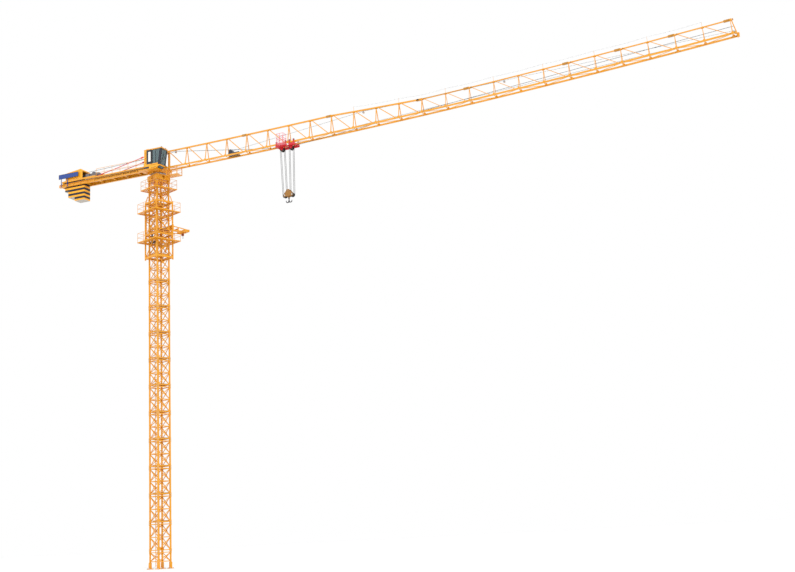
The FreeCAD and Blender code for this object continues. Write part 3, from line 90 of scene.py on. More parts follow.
# ---- sizes and colours ----
class CraneTowerSizes(bpy.types.PropertyGroup):
    turn: bpy.props.FloatProperty(name="Turn", description="Mast against the jib at rest", unit="ROTATION",
                                  subtype="ANGLE", default=math.radians(-21))
    leg_pitch: length("Leg pitch", "Between the middles of two legs", 0.7325)
    leg_size: length("Leg size", "Width of a leg", 0.0675)
    collar: length("Collar", "Width of the collars at the section joints", 0.0855)
    base_height: length("Base height", "Top of the half section on the feet", 0.873)
    section_height: length("Section height", "One mast section", 1.4)
    section_count: bpy.props.IntProperty(name="Sections", description="Number of mast sections", default=14)
    cage_pitch: length("Cage pitch", "Between the middles of two cage posts", 1.03)
    cage_post: length("Cage post", "Width of a cage post", 0.06)
    rung_spacing: length("Rung spacing", "Between two ladder rungs", 0.15)


class CraneJibSizes(bpy.types.PropertyGroup):
    bow_radius: length("Bow radius", "Of the arc that the bottom chords follow", 453.5)
    axis_height: length("Axis height", "Bottom chord axis at the slewing axis", 21.085)
    chord_pitch: length("Chord pitch", "Between the two bottom chords", 0.4545)
    chord_size: length("Chord size", "Width of a chord", 0.07)
    slim_top_chord: length("Slim top chord", "Width of the top chord in the outer sections", 0.05)
    post_size: length("Post size", "Width of a post", 0.034)
    slim_post: length("Slim post", "Width of a post in the outer sections", 0.024)
    first_node: length("First node", "Along the jib from the slewing axis", 1.83)
    bay: length("Bay", "Between two nodes", 1.25)
    node_count: bpy.props.IntProperty(name="Nodes", description="Number of jib nodes", default=24)
    deep: length("Deep", "Chord to chord at the root", 1.0)
    slim: length("Slim", "Chord to chord in the outer part", 0.75)
    trolley_place: length("Trolley place", "Along the jib at rest", 7.95)
    girder_pitch: length("Girder pitch", "Between the counter jib's girders", 0.55)
    girder_depth: length("Girder depth", "Height of a girder", 0.18)


class CraneRopeSizes(bpy.types.PropertyGroup):
    rope: length("Rope radius", "Of the hoist rope", 0.0115)
    hauling_rope: length("Hauling rope radius", "Of the rope that pulls the trolley", 0.007)
    lay: length("Lay", "Length of one turn of the rope's strands", 0.14)
    upper_sheave: length("Upper sheave radius", "At the trolley", 0.105)
    lower_sheave: length("Lower sheave radius", "At the hook block", 0.095)
    sheave_offset: length("Sheave offset", "From the middle to each sheave", 0.060)
    axle_drop: length("Axle drop", "Sheave axles below the bottom chord axis", 0.260)
    block_pitch: length("Block pitch", "Between the hook block's two axles", 0.420)
    block_height: length("Block height", "Of the hook block's axles at rest", 18.385)


class CraneColours(bpy.types.PropertyGroup):
    orange: colour("Orange", "Paint of the mast and jib", "E29A00")
    yellow: colour("Yellow", "Paint of the cab and the winch cover", "F8A808")
    red: colour("Red", "Paint of the trolley", "C8051C")
    pink: colour("Faded red", "Sun-bleached paint of the tie rods", "DE3C50")
    ochre: colour("Ochre", "Paint of the hook block", "94620E")
    navy: colour("Navy", "Dark panels and stripes", "070F26")
    blue: colour("Blue", "The bare sign board", "00388A")
    grey: colour("Grey", "Motors and cabinets", "6E6A6E")
    white: colour("White", "Bare plates", "E9E7E0")
    glass: colour("Glass", "Tint of the cab's panes", "6C8286")


def tower_sizes():
    return bpy.context.scene.crane_tower


def jib_sizes():
    return bpy.context.scene.crane_jib


def rope_sizes():
    return bpy.context.scene.crane_ropes


def colours():
    return bpy.context.scene.crane_colours


# ---- surfaces ----
Part = namedtuple("Part", "points faces")


def joined(parts):
    """One part from several, their points one after another."""
    points, faces, start = [], [], 0
    for part in parts:
        points.append(part.points)
        faces += [corners + start for corners in part.faces]
        start += len(part.points)
    return Part(np.concatenate(points), faces)


def outward(part):
    """The part with its faces pointing out: they are turned over if the volume they sign is negative."""
    centre = part.points.mean(0)
    volume = 0.0
    for faces in part.faces:
        corners = part.points[faces] - centre
        fan = np.cross(corners[:, 1:-1], corners[:, 2:])
        volume += np.einsum("ijk,ijk->", np.broadcast_to(corners[:, :1], fan.shape), fan)
    return part if volume >= 0 else Part(part.points, [faces[:, ::-1] for faces in part.faces])


def skin(rings, looped=False):
    """A closed skin over rings of points, shaped (pieces, rings, points, 3).

    Point (i, j) joins (i, j + 1), (i + 1, j + 1) and (i + 1, j).  The first and last rings are
    filled, or the last one joins the first when the path is a loop.
    """
    rings = np.asarray(rings, float)
    rings = rings[None] if rings.ndim == 3 else rings
    pieces, count, around, _ = rings.shape
    index = np.arange(pieces * count * around).reshape(pieces, count, around)
    after = np.roll(index, -1, axis=2)
    following, after_following = np.roll(index, -1, axis=1), np.roll(after, -1, axis=1)
    keep = slice(None) if looped else slice(0, -1)
    faces = [np.stack([index, after, after_following, following], -1)[:, keep].reshape(-1, 4)]
    if not looped:
        faces += [index[:, 0, ::-1].reshape(-1, around), index[:, -1].reshape(-1, around)]
    return outward(Part(rings.reshape(-1, 3), faces))


def unit(vectors):
    """Vectors divided by their lengths."""
    vectors = np.asarray(vectors, float)
    return vectors / np.maximum(np.linalg.norm(vectors, axis=-1, keepdims=True), 1e-12)


def across(along, up):
    """Two directions square to a run: up x along, and along x that; a run along up takes X instead."""
    up = np.broadcast_to(np.asarray(up, float), along.shape)
    steep = np.abs(np.einsum("...i,...i->...", along, up)) > 0.995
    up = np.where(steep[..., None], X, up)
    side = unit(np.cross(up, along))
    return side, np.cross(along, side)


def circle(count, start=0.0):
    """Points (cos t, sin t) of a unit circle."""
    t = start + 2 * np.pi * np.arange(count) / count
    return np.stack([np.cos(t), np.sin(t)], -1)


SQUARE = np.array([(-1.0, -1.0), (1.0, -1.0), (1.0, 1.0), (-1.0, 1.0)])


def runs(starts, ends, section, up=Z):
    """The same section carried straight from each start to its end: start + section in the plane across."""
    starts, ends = np.broadcast_arrays(np.atleast_2d(starts), np.atleast_2d(ends))
    side, top = across(unit(ends - starts), up)
    offset = section[:, :1] * side[:, None] + section[:, 1:] * top[:, None]
    return skin(np.stack([starts[:, None] + offset, ends[:, None] + offset], 1))


def bars(starts, ends, width, height=None, up=Z):
    """Straight bars of rectangular section between pairs of points."""
    return runs(starts, ends, SQUARE * [width / 2, (height or width) / 2], up)


def rods(starts, ends, radius, around=12):
    """Straight round rods between pairs of points."""
    return runs(starts, ends, circle(around) * radius)


def swept(path, section, up=Z, looped=False):
    """A section carried along a path: path(i) + section(i, j) in the plane across its tangent."""
    path = np.asarray(path, float)
    if looped:
        tangent = unit(np.roll(path, -1, 0) - np.roll(path, 1, 0))
    else:
        tangent = unit(np.gradient(path, axis=0))
    side, top = across(tangent, up)
    section = np.broadcast_to(section, (len(path),) + np.shape(section)[-2:])
    return skin(path[:, None] + section[..., :1] * side[:, None] + section[..., 1:] * top[:, None], looped)


def turned_about(profile, centres, axis, around=32, looped=False):
    """A profile of (radius, distance along) turned about an axis at each centre.

    Point (i, j) is centre + distance(i) * axis + radius(i) * (cos t(j), sin t(j)) across the axis.
    """
    profile = np.asarray(profile, float)
    axis = unit(axis)
    side, top = across(axis[None], X if abs(axis[0]) < 0.9 else Y)
    ring = circle(around)
    spokes = ring[:, :1] * side + ring[:, 1:] * top
    shape = profile[:, 1, None, None] * axis + profile[:, 0, None, None] * spokes
    return skin(np.atleast_2d(centres)[:, None, None] + shape, looped)


def plates(outline, vectors, places=((0.0, 0.0, 0.0),)):
    """A flat outline carried along a vector, once at each place."""
    outline = np.asarray(outline, float)
    pair = np.stack([outline, outline + np.asarray(vectors, float)])
    return skin(np.atleast_2d(places)[:, None, None] + pair)


def rounded(width, depth, radius, steps=4):
    """A rectangle with round corners: quarter circles about the four corner centres."""
    t = np.linspace(0, np.pi / 2, steps)
    start = np.arange(4)[:, None] * np.pi / 2
    arc = np.stack([np.cos(t + start), np.sin(t + start)], -1) * radius
    centre = np.array([(1, 1), (-1, 1), (-1, -1), (1, -1)]) * [width / 2 - radius, depth / 2 - radius]
    return (centre[:, None] + arc).reshape(-1, 2)


def block(low, high, edge=0.006, corner=None):
    """A box with round upright corners and eased top and bottom edges: four rings, the outer two drawn in."""
    low, high = np.minimum(low, high), np.maximum(low, high)
    size = high - low
    corner = min(corner or edge * 2, size[0] / 2.01, size[1] / 2.01)
    edge = min(edge, size[2] / 3, corner * 0.9)
    outer, inner = rounded(size[0], size[1], corner), rounded(size[0] - 2 * edge, size[1] - 2 * edge,
                                                              corner - edge * 0.8)
    middle = (low + high) / 2
    levels = ((inner, low[2]), (outer, low[2] + edge), (outer, high[2] - edge), (inner, high[2]))
    return skin(np.stack([np.column_stack([ring + middle[:2], np.full(len(ring), z)]) for ring, z in levels]))


def moved(part, offsets):
    """The part at each offset."""
    offsets = np.atleast_2d(offsets)
    points = (part.points + offsets[:, None]).reshape(-1, 3)
    start = np.arange(len(offsets))[:, None, None] * len(part.points)
    return Part(points, [(faces + start).reshape(-1, faces.shape[1]) for faces in part.faces])


def spun(part, angle, centre=(0.0, 0.0, 0.0)):
    """The part turned about the upright axis through a centre."""
    c, s = math.cos(angle), math.sin(angle)
    turn = np.array([(c, -s, 0), (s, c, 0), (0, 0, 1)])
    return Part((part.points - centre) @ turn.T + centre, part.faces)


def four_sides(part):
    """The part on each of the four sides of a square tower."""
    return joined([spun(part, k * math.pi / 2) for k in range(4)])


def mirrored(part):
    """The part and its mirror image in the plane y = 0."""
    flipped = Part(part.points * [1, -1, 1], [faces[:, ::-1] for faces in part.faces])
    return joined([part, flipped])


def bolts(places, axis, radius, height):
    """Hexagon heads at each place: a six-sided profile with an eased outer edge."""
    profile = [(radius, 0.0), (radius, height * 0.8), (radius * 0.86, height)]
    return turned_about(profile, places, axis, 6)


def grooved(radius, width, bore, groove):
    """A sheave's profile as a loop: down the bore, out along the web, over two lips and the rope's groove."""
    half = width / 2
    t = np.linspace(-1, 1, 9)
    dip = radius - groove * np.sqrt(np.maximum(0.0, 1 - (t * 0.92) ** 2))
    rim = np.column_stack([dip, t * half * 0.62])
    web = radius * 0.66
    left = [(bore, -half), (bore * 2.1, -half), (bore * 2.3, -half * 0.45), (web, -half * 0.45),
            (web * 1.12, -half),
            (radius, -half)]
    right = [(r, -a) for r, a in reversed(left)]
    return np.array(left + [tuple(point) for point in rim] + right)


def rope(path, radius, lay, up=Z, strands=6, looped=False):
    """A laid rope: a section of bulging strands, radius * (1 + 0.1 |cos|), turned once in each lay."""
    path = np.asarray(path, float)
    run = np.concatenate([[0.0], np.cumsum(np.linalg.norm(np.diff(path, axis=0), axis=1))])
    t = 2 * np.pi * np.arange(strands * 3) / (strands * 3)
    bulge = radius * (0.88 + 0.12 * np.abs(np.cos(t * strands / 2)))
    angle = t + 2 * np.pi * run[:, None] / lay
    return swept(path, np.stack([bulge * np.cos(angle), bulge * np.sin(angle)], -1), up, looped)


# ---- the jib's arc ----
def rail(s, y=0.0, height=0.0):
    """Points of the bowed jib: angle s / R about the far centre, at height above the bottom chord axis."""
    sizes = jib_sizes()
    s, y, height = np.broadcast_arrays(np.asarray(s, float), y, height)
    radius = sizes.bow_radius - height
    angle = s / sizes.bow_radius
    rise = height + radius * 2 * np.sin(angle / 2) ** 2
    return np.stack([radius * np.sin(angle), y, sizes.axis_height + rise], -1)


def node_places():
    """Arc lengths of the jib's nodes: first + bay * i."""
    sizes = jib_sizes()
    return sizes.first_node + sizes.bay * np.arange(sizes.node_count)


def depth(s):
    """Chord to chord depth: deep up to node 7, then straight down to slim at node 11."""
    sizes = jib_sizes()
    nodes = node_places()
    return np.interp(s, [nodes[7], nodes[11]], [sizes.deep, sizes.slim])


# ---- pieces ----
def piece(name, part, finish, body, replaces=(), sharp=38.0):
    """Put a part into a mesh object that rides on a body, or on none, with edges over an angle sharp."""
    mesh = bpy.data.meshes.new(name)
    sides = np.concatenate([np.full(len(faces), faces.shape[1]) for faces in part.faces])
    corners = np.concatenate([faces.ravel() for faces in part.faces]).astype(np.int32)
    mesh.vertices.add(len(part.points))
    mesh.vertices.foreach_set("co", part.points.astype(np.float32).ravel())
    mesh.loops.add(len(corners))
    mesh.loops.foreach_set("vertex_index", corners)
    mesh.polygons.add(len(sides))
    mesh.polygons.foreach_set("loop_start", np.concatenate([[0], np.cumsum(sides)[:-1]]).astype(np.int32))
    mesh.update(calc_edges=True)
    mesh.validate()
    mesh.polygons.foreach_set("use_smooth", np.ones(len(mesh.polygons), bool))
    mesh.set_sharp_from_angle(angle=math.radians(sharp))
    mesh.materials.append(FINISHES[finish])
    made = bpy.data.objects.new(name, mesh)
    bpy.context.scene.collection.objects.link(made)
    if body:
        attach(made, body)
    if replaces:
        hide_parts(*replaces)
    return made


# ---- finishes ----
def add_node(tree, kind, links=None, values=None, **settings):
    """Add a node with its settings, unlinked values and links from other nodes' outputs."""
    node = tree.nodes.new(kind)
    for key, value in settings.items():
        setattr(node, key, value)
    for key, value in (values or {}).items():
        node.inputs[key].default_value = value
    for key, output in (links or {}).items():
        tree.links.new(output, node.inputs[key])
    return node


def new_finish(name, **shader_values):
    """An empty material with its shader, object coordinates in metres and their tree."""
    finish = bpy.data.materials.new(name)
    finish.use_nodes = True
    tree = finish.node_tree
    tree.nodes.clear()
    place = add_node(tree, "ShaderNodeTexCoord").outputs["Object"]
    shader = add_node(tree, "ShaderNodeBsdfPrincipled", values={key.replace("_", " "): value
                                                                for key, value in shader_values.items()})
    add_node(tree, "ShaderNodeOutputMaterial", links={"Surface": shader.outputs["BSDF"]})
    return finish, tree, place, shader


def coated_colour(tree, place, base, dirt="5A4630", dirt_amount=0.35, fade=0.10):
    """Paint that has stood outdoors: slow patches of fading, and upright runs of dirty water.

    Patches are a metre across and runs are 30 mm wide and half a metre long, so from afar the
    paint is uneven in tone, and close to it shows streaks below every joint.
    """
    patches = add_node(tree, "ShaderNodeTexNoise", links={"Vector": place},
                       values={"Scale": 1.1, "Detail": 4.0})
    faded = tuple(min(1.0, c * (1 + fade * 1.5) + fade * 0.12) for c in base)
    deeper = tuple(c * (1 - fade) for c in base)
    tone = add_node(tree, "ShaderNodeMix", data_type="RGBA", links={0: patches.outputs["Fac"]},
                    values={6: (*deeper, 1), 7: (*faded, 1)})
    drawn = add_node(tree, "ShaderNodeMapping", links={"Vector": place}, values={"Scale": (32.0, 32.0, 2.0)})
    streaks = add_node(tree, "ShaderNodeTexNoise", links={"Vector": drawn.outputs["Vector"]},
                       values={"Scale": 1.0, "Detail": 3.0, "Roughness": 0.65})
    only_some = add_node(tree, "ShaderNodeMapRange", links={"Value": streaks.outputs["Fac"]},
                         values={"From Min": 0.56, "From Max": 0.80, "To Min": 0.0, "To Max": dirt_amount})
    return add_node(tree, "ShaderNodeMix", data_type="RGBA",
                    links={0: only_some.outputs["Result"], 6: tone.outputs[2]},
                    values={7: (*linear(dirt), 1)})


def uneven(tree, place, shader, scale, distance, low, high, strength=0.5):
    """One fine noise that roughens the gloss between two values and lifts the surface by a distance."""
    grain = add_node(tree, "ShaderNodeTexNoise", links={"Vector": place},
                     values={"Scale": scale, "Detail": 3.0})
    gloss = add_node(tree, "ShaderNodeMapRange", links={"Value": grain.outputs["Fac"]},
                     values={"To Min": low, "To Max": high})
    tree.links.new(gloss.outputs["Result"], shader.inputs["Roughness"])
    lift = add_node(tree, "ShaderNodeBump", links={"Height": grain.outputs["Fac"]},
                    values={"Strength": strength, "Distance": distance})
    tree.links.new(lift.outputs["Normal"], shader.inputs["Normal"])
    return grain


def sprayed_paint(name, base, dirt_amount=0.35, fade=0.10, low=0.30, high=0.48):
    """Two-pack paint sprayed on blasted steel: orange-peel ripples 6 mm apart under a semi-gloss skin."""
    finish, tree, place, shader = new_finish(name, Coat_Weight=0.15, Coat_Roughness=0.25)
    colour_out = coated_colour(tree, place, base, dirt_amount=dirt_amount, fade=fade)
    tree.links.new(colour_out.outputs[2], shader.inputs["Base Color"])
    uneven(tree, place, shader, 160.0, 0.0004, low, high, 0.35)
    return finish


def striped_slab_paint(name, light, dark, underside):
    """Steel-framed slabs brushed in level stripes 0.24 m apart, on bare cast concrete underneath.

    Stripes go by height, so that they run on from slab to slab; the trowelled concrete shows
    only where a face looks down.
    """
    finish, tree, place, shader = new_finish(name)
    axes = add_node(tree, "ShaderNodeSeparateXYZ", links={0: place})
    wander = add_node(tree, "ShaderNodeTexNoise", links={"Vector": place},
                      values={"Scale": 9.0, "Detail": 2.0})
    edge = add_node(tree, "ShaderNodeMath", operation="MULTIPLY_ADD",
                    links={0: wander.outputs["Fac"], 2: axes.outputs["Z"]},
                    values={1: 0.006})
    below = add_node(tree, "ShaderNodeMath", operation="SUBTRACT", links={0: edge.outputs[0]},
                     values={1: 20.190})
    turns = add_node(tree, "ShaderNodeMath", operation="DIVIDE", links={0: below.outputs[0]},
                     values={1: 0.238})
    part = add_node(tree, "ShaderNodeMath", operation="FRACT", links={0: turns.outputs[0]})
    is_dark = add_node(tree, "ShaderNodeMath", operation="GREATER_THAN", links={0: part.outputs[0]},
                       values={1: 0.47})
    painted = coated_colour(tree, place, light)
    striped = add_node(tree, "ShaderNodeMix", data_type="RGBA",
                       links={0: is_dark.outputs[0], 6: painted.outputs[2]}, values={7: (*dark, 1)})
    facing = add_node(tree, "ShaderNodeSeparateXYZ",
                      links={0: add_node(tree, "ShaderNodeNewGeometry").outputs["Normal"]})
    looks_down = add_node(tree, "ShaderNodeMath", operation="LESS_THAN", links={0: facing.outputs["Z"]},
                          values={1: -0.7})
    whole = add_node(tree, "ShaderNodeMix", data_type="RGBA",
                     links={0: looks_down.outputs[0], 6: striped.outputs[2]}, values={7: (*underside, 1)})
    tree.links.new(whole.outputs[2], shader.inputs["Base Color"])
    uneven(tree, place, shader, 70.0, 0.0012, 0.42, 0.62, 0.4)
    return finish


def bare_steel(name, base, grain=(400.0, 20.0, 400.0), low=0.22, high=0.42):
    """Steel turned on a lathe and kept under thin oil: fine marks round the axis and a broken sheen."""
    finish, tree, place, shader = new_finish(name, Metallic=1.0)
    drawn = add_node(tree, "ShaderNodeMapping", links={"Vector": place}, values={"Scale": grain})
    marks = uneven(tree, drawn.outputs["Vector"], shader, 1.0, 0.0002, low, high, 0.3)
    tone = add_node(tree, "ShaderNodeMix", data_type="RGBA", links={0: marks.outputs["Fac"]},
                    values={6: (*[c * 0.7 for c in base], 1), 7: (*base, 1)})
    tree.links.new(tone.outputs[2], shader.inputs["Base Color"])
    return finish


def hot_dip_grating(name):
    """Galvanised grating: zinc crystals 15 mm across, and openings 30 by 90 mm painted near-black, a painted
    shade for the gaps, so that they read as dark lines.
    """
    finish, tree, place, shader = new_finish(name, Metallic=0.75)
    crystals = add_node(tree, "ShaderNodeTexVoronoi", links={"Vector": place}, values={"Scale": 65.0})
    zinc = add_node(tree, "ShaderNodeMix", data_type="RGBA", links={0: crystals.outputs["Distance"]},
                    values={6: (0.42, 0.44, 0.46, 1), 7: (0.62, 0.64, 0.66, 1)})
    bricks = add_node(tree, "ShaderNodeTexBrick", links={"Vector": place}, offset=0.0,
                      values={"Color1": (0, 0, 0, 1), "Color2": (0, 0, 0, 1), "Mortar": (1, 1, 1, 1),
                              "Scale": 1.0,
                              "Mortar Size": 0.006, "Mortar Smooth": 0.2, "Brick Width": 0.09,
                              "Row Height": 0.03})
    # The openings get near-black: painted shade standing for the dark seen through the gaps.
    zinc_with_painted_shade_openings = add_node(tree, "ShaderNodeMix", data_type="RGBA",
                     links={0: bricks.outputs["Color"], 7: zinc.outputs[2]},
                     values={6: (0.05, 0.05, 0.055, 1)})
    tree.links.new(zinc_with_painted_shade_openings.outputs[2], shader.inputs["Base Color"])
    lift = add_node(tree, "ShaderNodeBump", links={"Height": bricks.outputs["Color"]},
                    values={"Strength": 0.8, "Distance": 0.006})
    tree.links.new(lift.outputs["Normal"], shader.inputs["Normal"])
    uneven_gloss = add_node(tree, "ShaderNodeMapRange", links={"Value": crystals.outputs["Distance"]},
                            values={"To Min": 0.38, "To Max": 0.6})
    tree.links.new(uneven_gloss.outputs["Result"], shader.inputs["Roughness"])
    return finish


def open_decking(name, base, heights):
    """Expanded steel decking in the mast's paint: holes 30 by 90 mm let the light and the lattice through.

    The holes belong to the level faces of the decks at the given heights; the edge frames stay whole.
    """
    finish, tree, place, shader = new_finish(name)
    tone = coated_colour(tree, place, base, dirt_amount=0.5)
    tree.links.new(tone.outputs[2], shader.inputs["Base Color"])
    axes = add_node(tree, "ShaderNodeSeparateXYZ", links={0: place})
    decks = [add_node(tree, "ShaderNodeMath", operation="COMPARE", links={0: axes.outputs["Z"]},
                      values={1: z, 2: 0.0065})
             for z in heights]
    deck = decks[0]
    for other in decks[1:]:
        deck = add_node(tree, "ShaderNodeMath", operation="MAXIMUM",
                        links={0: deck.outputs[0], 1: other.outputs[0]})
    facing = add_node(tree, "ShaderNodeSeparateXYZ",
                      links={0: add_node(tree, "ShaderNodeNewGeometry").outputs["Normal"]})
    steep = add_node(tree, "ShaderNodeMath", operation="ABSOLUTE", links={0: facing.outputs["Z"]})
    level = add_node(tree, "ShaderNodeMath", operation="GREATER_THAN", links={0: steep.outputs[0]},
                     values={1: 0.9})
    mesh = add_node(tree, "ShaderNodeTexBrick", links={"Vector": place},
                    values={"Scale": 1.0, "Mortar Size": 0.010, "Mortar Smooth": 0.0, "Brick Width": 0.09,
                            "Row Height": 0.03})
    hole = add_node(tree, "ShaderNodeMath", operation="SUBTRACT", links={1: mesh.outputs["Fac"]},
                    values={0: 1.0})
    open_deck = add_node(tree, "ShaderNodeMath", operation="MULTIPLY",
                         links={0: deck.outputs[0], 1: level.outputs[0]})
    gap = add_node(tree, "ShaderNodeMath", operation="MULTIPLY",
                   links={0: open_deck.outputs[0], 1: hole.outputs[0]})
    cover = add_node(tree, "ShaderNodeMath", operation="SUBTRACT", links={1: gap.outputs[0]}, values={0: 1.0})
    tree.links.new(cover.outputs[0], shader.inputs["Alpha"])
    uneven(tree, place, shader, 160.0, 0.0004, 0.4, 0.6, 0.3)
    return finish


def greased_rope(name):
    """Galvanised wire rope under old grease: 1 mm wires glint along the strands, dust dulls the rest."""
    finish, tree, place, shader = new_finish(name, Metallic=0.35)
    dust = add_node(tree, "ShaderNodeTexNoise", links={"Vector": place}, values={"Scale": 3.0, "Detail": 4.0})
    wires = add_node(tree, "ShaderNodeTexWave", links={"Vector": place}, wave_type="BANDS",
                     bands_direction="DIAGONAL",
                     values={"Scale": 120.0, "Distortion": 2.0})
    tone = add_node(tree, "ShaderNodeMix", data_type="RGBA", links={0: dust.outputs["Fac"]},
                    values={6: (0.035, 0.034, 0.032, 1), 7: (0.085, 0.083, 0.078, 1)})
    tree.links.new(tone.outputs[2], shader.inputs["Base Color"])
    gloss = add_node(tree, "ShaderNodeMapRange", links={"Value": wires.outputs["Fac"]},
                     values={"To Min": 0.35, "To Max": 0.6})
    tree.links.new(gloss.outputs["Result"], shader.inputs["Roughness"])
    lift = add_node(tree, "ShaderNodeBump", links={"Height": wires.outputs["Fac"]},
                    values={"Strength": 0.5, "Distance": 0.0006})
    tree.links.new(lift.outputs["Normal"], shader.inputs["Normal"])
    return finish


def float_glass(name, tint):
    """Tinted float glass: a faint film of dust takes the edge off a clear mirror gloss."""
    finish, tree, place, shader = new_finish(name, Transmission_Weight=0.55, IOR=1.45)
    film = add_node(tree, "ShaderNodeTexNoise", links={"Vector": place}, values={"Scale": 4.0, "Detail": 5.0})
    gloss = add_node(tree, "ShaderNodeMapRange", links={"Value": film.outputs["Fac"]},
                     values={"To Min": 0.02, "To Max": 0.16})
    tree.links.new(gloss.outputs["Result"], shader.inputs["Roughness"])
    tone = add_node(tree, "ShaderNodeMix", data_type="RGBA", links={0: film.outputs["Fac"]},
                    values={6: (*tint, 1), 7: (*[min(1.0, c * 1.35) for c in tint], 1)})
    tree.links.new(tone.outputs[2], shader.inputs["Base Color"])
    return finish


def moulded(name, base, scale=260.0, low=0.5, high=0.75, lift=0.0006):
    """Rubber or plastic from a textured mould: a leathery grain 4 mm across that scatters the light."""
    finish, tree, place, shader = new_finish(name)
    grain = add_node(tree, "ShaderNodeTexVoronoi", links={"Vector": place}, values={"Scale": scale})
    tone = add_node(tree, "ShaderNodeMix", data_type="RGBA", links={0: grain.outputs["Distance"]},
                    values={6: (*[c * 0.8 for c in base], 1), 7: (*[min(1.0, c * 1.25) for c in base], 1)})
    tree.links.new(tone.outputs[2], shader.inputs["Base Color"])
    gloss = add_node(tree, "ShaderNodeMapRange", links={"Value": grain.outputs["Distance"]},
                     values={"To Min": low, "To Max": high})
    tree.links.new(gloss.outputs["Result"], shader.inputs["Roughness"])
    bump = add_node(tree, "ShaderNodeBump", links={"Height": grain.outputs["Distance"]},
                    values={"Strength": 0.4, "Distance": lift})
    tree.links.new(bump.outputs["Normal"], shader.inputs["Normal"])
    return finish


def swept_floor(name):
    """A pale screed floor, power-floated: wide soft clouds and a fine tooth, almost even in tone."""
    finish, tree, place, shader = new_finish(name)
    clouds = add_node(tree, "ShaderNodeTexNoise", links={"Vector": place},
                      values={"Scale": 0.25, "Detail": 5.0})
    tone = add_node(tree, "ShaderNodeMix", data_type="RGBA", links={0: clouds.outputs["Fac"]},
                    values={6: (0.84, 0.84, 0.84, 1), 7: (0.90, 0.90, 0.89, 1)})
    tree.links.new(tone.outputs[2], shader.inputs["Base Color"])
    uneven(tree, place, shader, 30.0, 0.001, 0.6, 0.8, 0.2)
    return finish


FINISHES = {}


NODE_FINISHES = {
    "open_decking": ("cage_platform_", "mast_platform_top"),
    "sprayed_orange": ("foot_plates", "base_frame", "mast_sections_", "cage_side_", "platform_railings",
                       "loading_beam", "slewing_support", "turntable", "tower_head",
                       "jib_section_", "jib_tip", "counter_jib_frame", "counter_jib_railings", "winch_frame",
                       "cab_platform", "front_platform"),
    "sprayed_yellow": ("winch_housing", "cab_shell"),
    "faded_red_rods": ("tie_rods",),
    "sprayed_red": ("trolley_frame",),
    "faded_red_basket": ("trolley_basket",),
    "turned_steel": ("trolley_wheels", "trolley_sheaves", "hoist_drum", "block_sheaves", "slewing_ring_fixed",
                     "slewing_ring_turning"),
    "sprayed_grey": ("winch_motor",),
    "sprayed_navy": ("trolley_winch",),
    "enamelled_blue": ("sign_panel",),
    "striped_slabs": ("counterweight_slabs",),
    "tinted_glass": ("cab_glass",),
    "hydraulic_black": ("climbing_cylinder",),
    "galvanised_grating": ("counter_jib_deck",),
    "greased_rope": ("hoist_ropes",),
    "sprayed_ochre": ("hook_block",),
    "forged_black": ("hook",),
}


